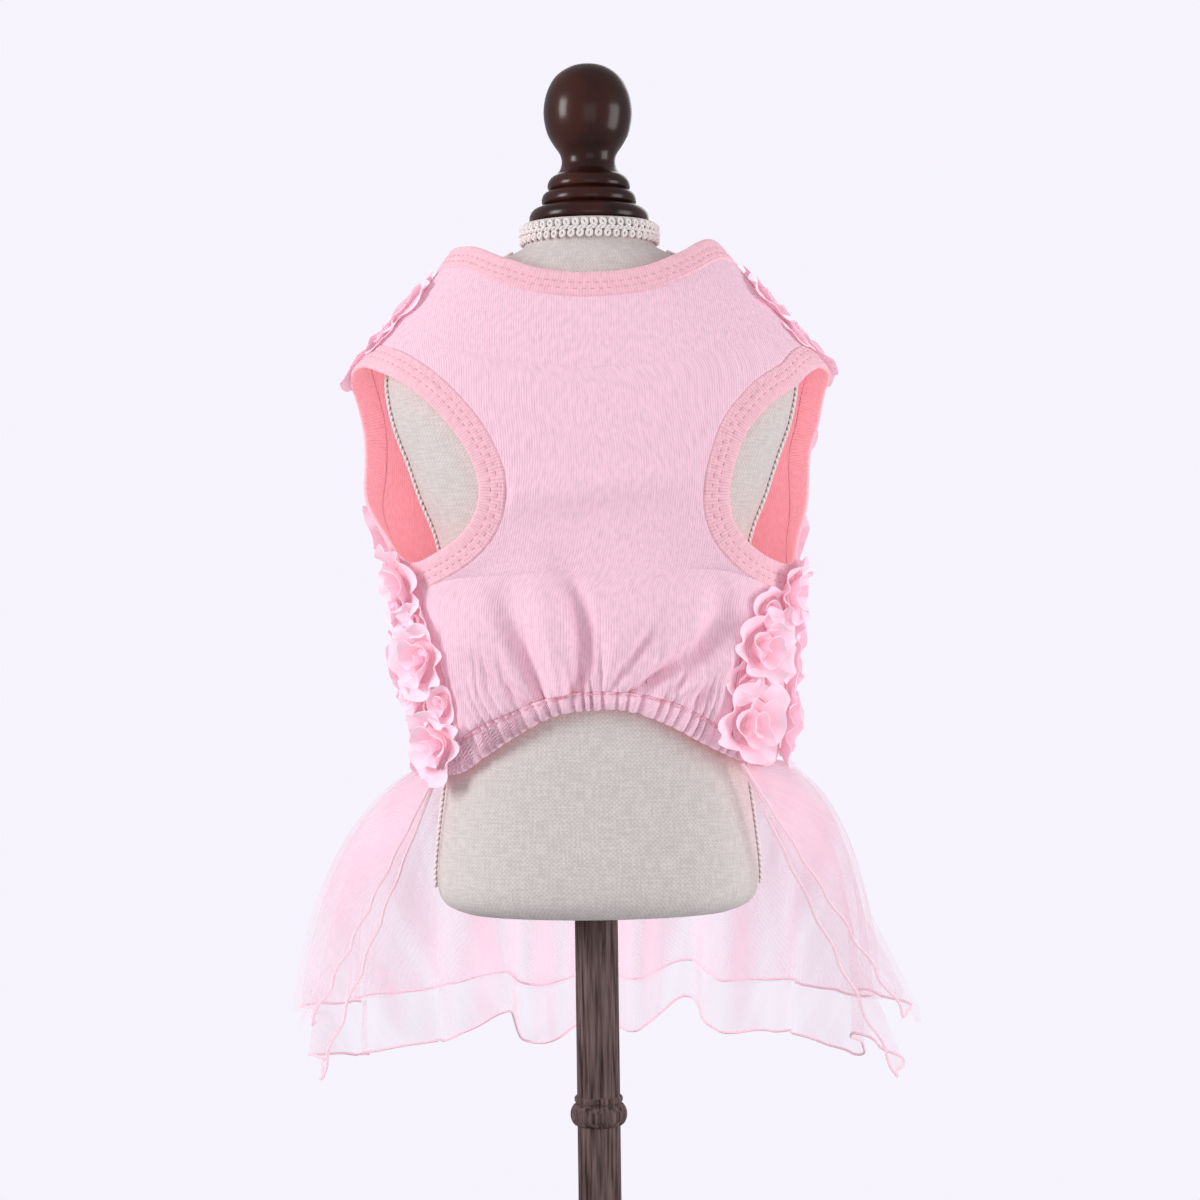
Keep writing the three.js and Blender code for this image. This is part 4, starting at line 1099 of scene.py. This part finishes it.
def band_lift(across, lift, length):
    """A band's lift with the dimples and puckers of its stitching on the outer face."""
    if lift < 0.3:
        return np.full_like(length, lift)
    beat = 2 * np.pi * length / STITCH_PITCH
    for k, row in enumerate(STITCH_ROWS):
        lift = lift - STITCH_DIMPLE * bell(across, row, 0.6) * (0.6 + 0.4 * np.cos(beat + np.pi * k))
    return lift + 0.1 * np.sin(beat / 2 + across) * smoothstep(across, 4, 8)


def band(name, edge, width, side, steps):
    """A folded binding round an opening, with its two rows of stitches."""
    share = np.arange(steps) / steps
    rim = dress_point(edge(np.r_[share, 1]))
    length = np.r_[0, np.cumsum(np.linalg.norm(np.diff(rim, axis=0), axis=-1))]
    length = length * STITCH_PITCH * round(length[-1] / STITCH_PITCH) / length[-1]
    rings, uvs = [], []
    for across, lift in BAND_SECTION:
        place = offset_edge(edge, max(across * width / LEG_BAND_WIDTH, 0.01), side)(share)
        rings.append(on_dress(place, band_lift(across, lift, length[:-1])))
        uvs.append(np.stack([length[:-1], np.full(steps, across)], -1) * MM)
    points, faces, uv, _ = ring_grid(np.stack(rings, 1), True, np.stack(uvs, 1))
    # The inner faces take the inside jersey look, with its painted glow and painted brighter pink.
    inside = [int(lift < -0.45) for _, lift in BAND_SECTION]
    parts = [(points, faces, uv, np.tile(inside, steps))]
    binding = piece(name, parts, [BAND_LOOK, PAINTED_GLOW_INSIDE_LOOK], period=length[-1] * MM)
    rows = []
    for k, row in enumerate(STITCH_ROWS):
        line = offset_edge(edge, row * width / LEG_BAND_WIDTH, side)
        at = (np.arange(round(length[-1] / STITCH_PITCH)) + k / 2) * STITCH_PITCH
        at = np.interp(at, length, np.r_[share, 1])
        rows.append(stitches(line, at, lambda place: BAND_STITCH_LIFT))
    return binding, trim(f"{name}_stitches", rows, [THREAD_LOOK])


def stitch_mesh():
    """One stitch of thread, lying along x."""
    x = np.linspace(-1, 1, 5)[:, None]
    angle = circle(6)
    radius = STITCH_RADIUS * np.sqrt(1 - 0.9 * x**4)
    grid = np.stack([
        np.broadcast_to(x * STITCH_LENGTH / 2, (5, 6)),
        radius * np.cos(angle),
        radius * np.sin(angle) - 0.25 * x**4,
    ], -1)
    points, faces, _, _ = ring_grid(grid, False)
    return points, faces


def stitches(line, at, lift):
    """Stitches along a line on the dress at shares of it, lifted by a function of the place."""
    here = line(at)
    run = dress_point(line(at + 0.002)) - dress_point(here)
    return stamped(*stitch_mesh(), on_dress(here, lift(here)), run, dress_normal(here))


def casing_place():
    left = side_edge(seam_places(left_seam, HEM["z"][0], CASING_TOP["z"][0]), SEAM_GAP / 2)
    right = side_edge(seam_places(right_seam, HEM["z"][-1], CASING_TOP["z"][-1]), -SEAM_GAP / 2)
    return panel_place(left, right, hem_height, casing_top_height)


def hem_casing():
    """The elastic casing, drawn into gathers, with its stitched line along the top."""
    place_at = casing_place()
    u, v = shares(*CASING_GRID)
    v = 0.5 - 0.5 * np.cos(np.pi * v)
    place = place_at(u, v)
    wave = gather_wave(gather_foot(place))
    place = place - np.stack([0 * v, HEM_SCALLOP * wave * (1 - v)], -1)
    pinch = CASING_PINCH * bell(v, CASING_STITCH_LINE, 0.06)
    ends = smoothstep(from_edge(u), 0, 0.008)
    fat = np.sin(np.pi * v) ** 0.5
    outer = lerp(CASING_EDGES[0], CASING_OUT + 0.3 * wave * fat, fat) + GATHER_DEPTH * wave - pinch
    inner = lerp(CASING_EDGES[1], CASING_IN, fat) + 0.5 * GATHER_DEPTH * wave
    parts = cloth(place, lerp(-0.5, outer, ends), inner)
    casing = piece("hem_casing", parts, [JERSEY_LOOK, PAINTED_GLOW_INSIDE_LOOK])
    return casing, trim("hem_casing_stitches", [casing_stitches(place_at)], [THREAD_LOOK])


def casing_stitches(place_at):
    share = (np.arange(CASING_STITCHES) + 0.5) / CASING_STITCHES
    return stitches(
        lambda at: place_at(at, np.full_like(at, CASING_STITCH_LINE)),
        share,
        lambda place: CASING_STITCH_LIFT + GATHER_DEPTH * gather_wave(gather_foot(place)),
    )


# ---------------------------------------------------------------- the skirt
ruffle_out, ruffle_drop = curves(RUFFLES)


def waves(count, share, shift, wander, beat, beat_shift=0):
    """A count of waves over a share from 0 to 1, uneven because they wander to a beat of their own."""
    return np.sin(2 * np.pi * count * share + shift + wander * np.sin(beat * share + beat_shift))


def skirt_folds(u, v, phase):
    """Finer folds of a layer: waist gathers that fade, soft middle folds and a rippled edge."""
    gathers = 0.8 * waves(WAIST_GATHERS, u, 0, 2.1, 31) * np.minimum(1, v * 10) * np.exp(-v / 0.3)
    folds = 2.4 * waves(MIDDLE_FOLDS, u, 0.4 * phase, 2.3, 17) * v * (1 - 0.4 * v)
    ripple = 0.6 * waves(EDGE_RIPPLES, u, phase, 1.9, 23, phase) * smoothstep(v, 0.86, 1) ** 2
    front = 1.4 * np.sin(2 * np.pi * 6.3 * v + phase) * (1 - smoothstep(from_edge(u), 0, 0.05))
    return gathers + folds + ripple + front * smoothstep(v, 0.05, 0.3)


def skirt_point(layer, u, v, inward):
    lift, left, right, back, hem, depth, fall, phase = layer
    waist_turn, hem_turn = lerp(*SKIRT_WAIST, u), lerp(*SKIRT_HEM, u)
    seam = waist_height(waist_turn)
    top = on_dress(np.stack([waist_turn, seam], -1), lift - inward)
    sine, cosine = np.sin(np.radians(hem_turn)), np.cos(np.radians(hem_turn))
    side = np.where(sine < 0, left, right)
    inside = smoothstep(from_edge(u), 0, SKIRT_FRONT)
    spread = lerp(v, np.sin(np.pi / 2 * v**SKIRT_SPREAD), inside)
    growth = lerp(RUFFLE_START, 1, v) * np.minimum(1, v * 4)
    away = depth * growth * ruffle_out(hem_turn) + skirt_folds(u, v, phase) - inward
    drop = fall * ruffle_drop(hem_turn) + 0.4 * np.sin(2 * np.pi * 23 * u + phase + 1)
    return np.stack([
        lerp(top[..., 0], (side + away) * sine, spread),
        lerp(top[..., 1], -(back + away) * cosine, spread),
        lerp(seam - WAIST_GAP, hem - drop, v),
    ], -1)


def cloth_seen(points, v):
    """How much cloth lies behind a spot of sheer cloth: more where folds turn edge-on and at the waist."""
    normal = unit(np.cross(np.gradient(points, axis=1), np.gradient(points, axis=0)))
    facing = np.abs(np.sum(unit(normal[..., :2]) * unit(points[..., :2]), -1))
    return lerp(1.6, 0.8, smoothstep(v, -0.2, 0.9)) / np.maximum(facing, 0.3) ** 1.5


def skirt_layer(name, look):
    """One layer of the skirt. It is so sheer that it throws hardly any shade."""
    layer = SKIRT_LAYERS[name]
    u, v = shares(*SKIRT_GRID)
    points = skirt_point(layer, u, v, SKIRT_CLOTH / 2)
    skirt = piece(name, [sheet_grid(points, cloth_uv(points))], [look])
    cover = skirt.data.attributes.new(COVER, "FLOAT", "POINT")
    cover.data.foreach_set("value", cloth_seen(points, v).ravel().astype(np.float32))
    skirt.visible_shadow = False
    return skirt


def rolled_edge(name):
    """The rolled edge down a layer's fronts and round its hem."""
    layer, middle, (fronts, round_hem) = SKIRT_LAYERS[name], SKIRT_CLOTH / 2, EDGE_STEPS
    down, hem = np.linspace(0.004, 0.997, fronts), np.linspace(0, 1, round_hem)
    path = np.concatenate([
        skirt_point(layer, 0 * down, down, middle),
        skirt_point(layer, hem, np.ones(round_hem), middle),
        skirt_point(layer, np.ones(fronts), down[::-1], middle),
    ])
    return trim(f"{name}_edge", [tube(path, ROLLED_EDGE, 5)], [EDGE_LOOK])


# ---------------------------------------------------------------- the dress form
torso_width, torso_front, torso_back = curves(TORSO)


def torso_surface(turn, z):
    sine, cosine = np.sin(np.radians(turn)), np.cos(np.radians(turn))
    depth = np.where(cosine > 0, torso_front(z), torso_back(z))
    return np.stack([AXIS_SHIFT + torso_width(z) * sine, -depth * cosine, z + 0 * turn], -1)


def torso_point(turn, z, lift):
    by_turn = torso_surface(turn + 0.5, z) - torso_surface(turn - 0.5, z)
    by_height = torso_surface(turn, z + 0.5) - torso_surface(turn, z - 0.5)
    return torso_surface(turn, z) + unit(np.cross(by_turn, by_height)) * np.asarray(lift)[..., None]


def torso_body():
    sides, rows = TORSO_GRID
    share = np.linspace(0, 1, rows + 1)
    z = lerp(TORSO["z"][0], TORSO["z"][-1], share - 0.035 * np.sin(2 * np.pi * share))
    turn = 360 * np.arange(sides) / sides
    grid = torso_surface(*np.meshgrid(turn, z))
    uv = np.stack(np.broadcast_arrays(turn[None] / 360 * TORSO_GIRTH, z[:, None]), -1) * MM
    parts = [ring_grid(grid, False, uv)]
    return piece("form_torso", parts, [LINEN_LOOK], 75, TORSO_GIRTH * MM)


def side_braid(name, turn):
    """A narrow three-strand plait down one side of the torso."""
    z = np.linspace(PLAIT_FROM, PLAIT_TO, 520)
    parts = []
    for strand in range(3):
        beat = 2 * np.pi * (z / PLAIT_PITCH + strand / 3)
        shifted = turn + np.degrees(1.25 * np.sin(beat) / torso_front(z))
        lift = 1.05 + 0.42 * np.sin(2 * beat)
        path = torso_point(shifted, z, lift)
        parts.append(tube(path, PLAIT_CORD, 6, normals=path - torso_point(shifted, z, lift - 1)))
    return piece(name, parts, [GIMP_LOOK])


def facing(turn):
    """Level directions out of the form, at angles round it."""
    return np.stack([np.sin(turn), -np.cos(turn), 0 * turn], -1)


def neck_braid():
    """Gimp round the neck: two rows of little loops either side of a twisted cord."""
    angle, (wide, high, bend) = circle(14), GIMP_RING
    ring = np.stack([wide * np.cos(angle), high * np.sin(angle), bend * np.cos(2 * angle)], -1)
    loop = tube(ring, GIMP_CORD, 6, True, np.broadcast_to([0.0, 0.0, 1.0], ring.shape))[:2]
    parts = []
    for k, z in enumerate(GIMP_ROWS):
        turn = 2 * np.pi * (np.arange(GIMP_LOOPS) + 0.5 * k) / GIMP_LOOPS
        lean = np.full_like(turn, GIMP_LEAN if k else -GIMP_LEAN)
        run = np.stack([np.cos(turn), np.sin(turn), lean], -1)
        centres = facing(turn) * (NECK[0] + GIMP_LOOP_OUT) + [AXIS_SHIFT, 0, z]
        parts.append(stamped(*loop, centres, run, facing(turn)))
    turn = circle(720)
    for strand in range(2):
        beat = turn * GIMP_LOOPS + np.pi * strand
        path = facing(turn) * (NECK[0] + TWIST_OUT + 0.45 * np.cos(beat))[:, None]
        path = path + np.stack([0 * turn + AXIS_SHIFT, 0 * turn, TWIST_HEIGHT + 0.55 * np.sin(beat)], -1)
        parts.append(tube(path, TWIST_CORD, 6, True, facing(turn)))
    return piece("form_neck_braid", parts, [GIMP_LOOK])


def stand():
    piece("form_base", [lathe(BASE_RUNS, 128)], [DARK_WOOD_LOOK], 40)
    piece("form_pole", [lathe(POLE_RUNS)], [GREY_WOOD_LOOK], 40)
    finial = [lathe(FINIAL_RUNS, shift=AXIS_SHIFT)]
    piece("form_finial", finial, [DARK_WOOD_LOOK], 40)
    torso_body()
    neck_braid()
    side_braid("form_side_braid_left", -90)
    side_braid("form_side_braid_right", 90)


# ---------------------------------------------------------------- camera, light and studio
CAMERA_PLACE = (4, -1300, 400)
CAMERA_LENS = 78
CAMERA_ROLL = 0.77
STUDIO_COLOUR = (0.925, 0.90, 0.99)
STUDIO_GAP = 0.05  # from the base's underside down to the floor
WORLD_COLOUR = (0.97, 0.95, 1.0, 1)
KEY_LIGHT, FILL_LIGHT, FRONT_LIGHT, BACK_LIGHT, WORLD_LIGHT = 30, 25, 4.5, 13, 0.55


def make_camera():
    data = bpy.data.cameras.new("camera")
    data.lens = CAMERA_LENS
    data.sensor_width = 36
    data.clip_end = 50
    camera = bpy.data.objects.new("camera", data)
    camera.location = [x * MM for x in CAMERA_PLACE]
    camera.rotation_euler = (math.pi / 2, math.radians(CAMERA_ROLL), 0)
    bpy.context.collection.objects.link(camera)
    bpy.context.scene.camera = camera
    bpy.context.scene.view_settings.view_transform = "Standard"


def area_light(name, place, size, watts):
    """A soft box aimed at the middle of the dress."""
    data = bpy.data.lights.new(name, "AREA")
    data.shape = "RECTANGLE"
    data.size, data.size_y = size
    data.energy = watts
    light = bpy.data.objects.new(name, data)
    light.location = place
    light.rotation_euler = (Vector((0, 0, 0.4)) - Vector(place)).to_track_quat("-Z", "Y").to_euler()
    bpy.context.collection.objects.link(light)


def lights():
    area_light("key", (-1.85, -0.75, 0.95), (0.7, 1.0), KEY_LIGHT)
    area_light("fill", (1.95, -0.6, 0.4), (1.0, 1.5), FILL_LIGHT)
    area_light("front", (0.2, -2.1, 0.5), (1.2, 1.2), FRONT_LIGHT)
    area_light("back", (0.4, 2.1, 1.3), (1.6, 1.2), BACK_LIGHT)
    world = bpy.data.worlds.new("world")
    bpy.context.scene.world = world
    world.use_nodes = True
    background = world.node_tree.nodes["Background"]
    background.inputs["Color"].default_value = WORLD_COLOUR
    background.inputs["Strength"].default_value = WORLD_LIGHT


def studio():
    """A pale bowl of floor and wall all round, which only the camera sees."""
    bend = np.radians(np.linspace(0, 90, 13)[1:])
    floor, roof = [(AXIS_HOLE, 0), (1200, 0), (2600, 0)], [(4000, 5000), (AXIS_HOLE, 5200)]
    wall = np.stack([2600 + 1400 * np.sin(bend), 1400 - 1400 * np.cos(bend)], -1)
    profile = np.concatenate([floor, wall, roof]) - [0, STUDIO_GAP]
    look = Look("studio", {
        "Base Color": (0, 0, 0, 1), "Roughness": 1, "Specular IOR Level": 0,
        "Emission Color": (*STUDIO_COLOUR, 1), "Emission Strength": 1,
    })
    bowl = mesh_object("studio", [revolve(profile, LATHE_STEPS)], [look.material], 80)
    bowl.data.flip_normals()
    bowl.visible_diffuse = bowl.visible_glossy = bowl.visible_transmission = bowl.visible_shadow = False


# ---------------------------------------------------------------- the scene
def dress():
    place_at = back_place()
    belly = belly_panel()
    back = back_panel(place_at)
    roses = rosettes(place_at)
    casing, casing_thread = hem_casing()
    bands = [
        band("neck_band", neckline, NECK_BAND_WIDTH, -1, NECK_BAND_STEPS),
        band("leg_band_left", left_edge, LEG_BAND_WIDTH, 1, LEG_BAND_STEPS),
        band("leg_band_right", right_edge, LEG_BAND_WIDTH, -1, LEG_BAND_STEPS),
    ]
    net = skirt_layer("skirt_net", NET_LOOK)
    short = skirt_layer("skirt_short_organza", ORGANZA_LOOK)
    long = skirt_layer("skirt_long_organza", ORGANZA_LOOK)
    edges = [rolled_edge(name) for name in ("skirt_short_organza", "skirt_long_organza")]


stand()
dress()
make_camera()
lights()
studio()
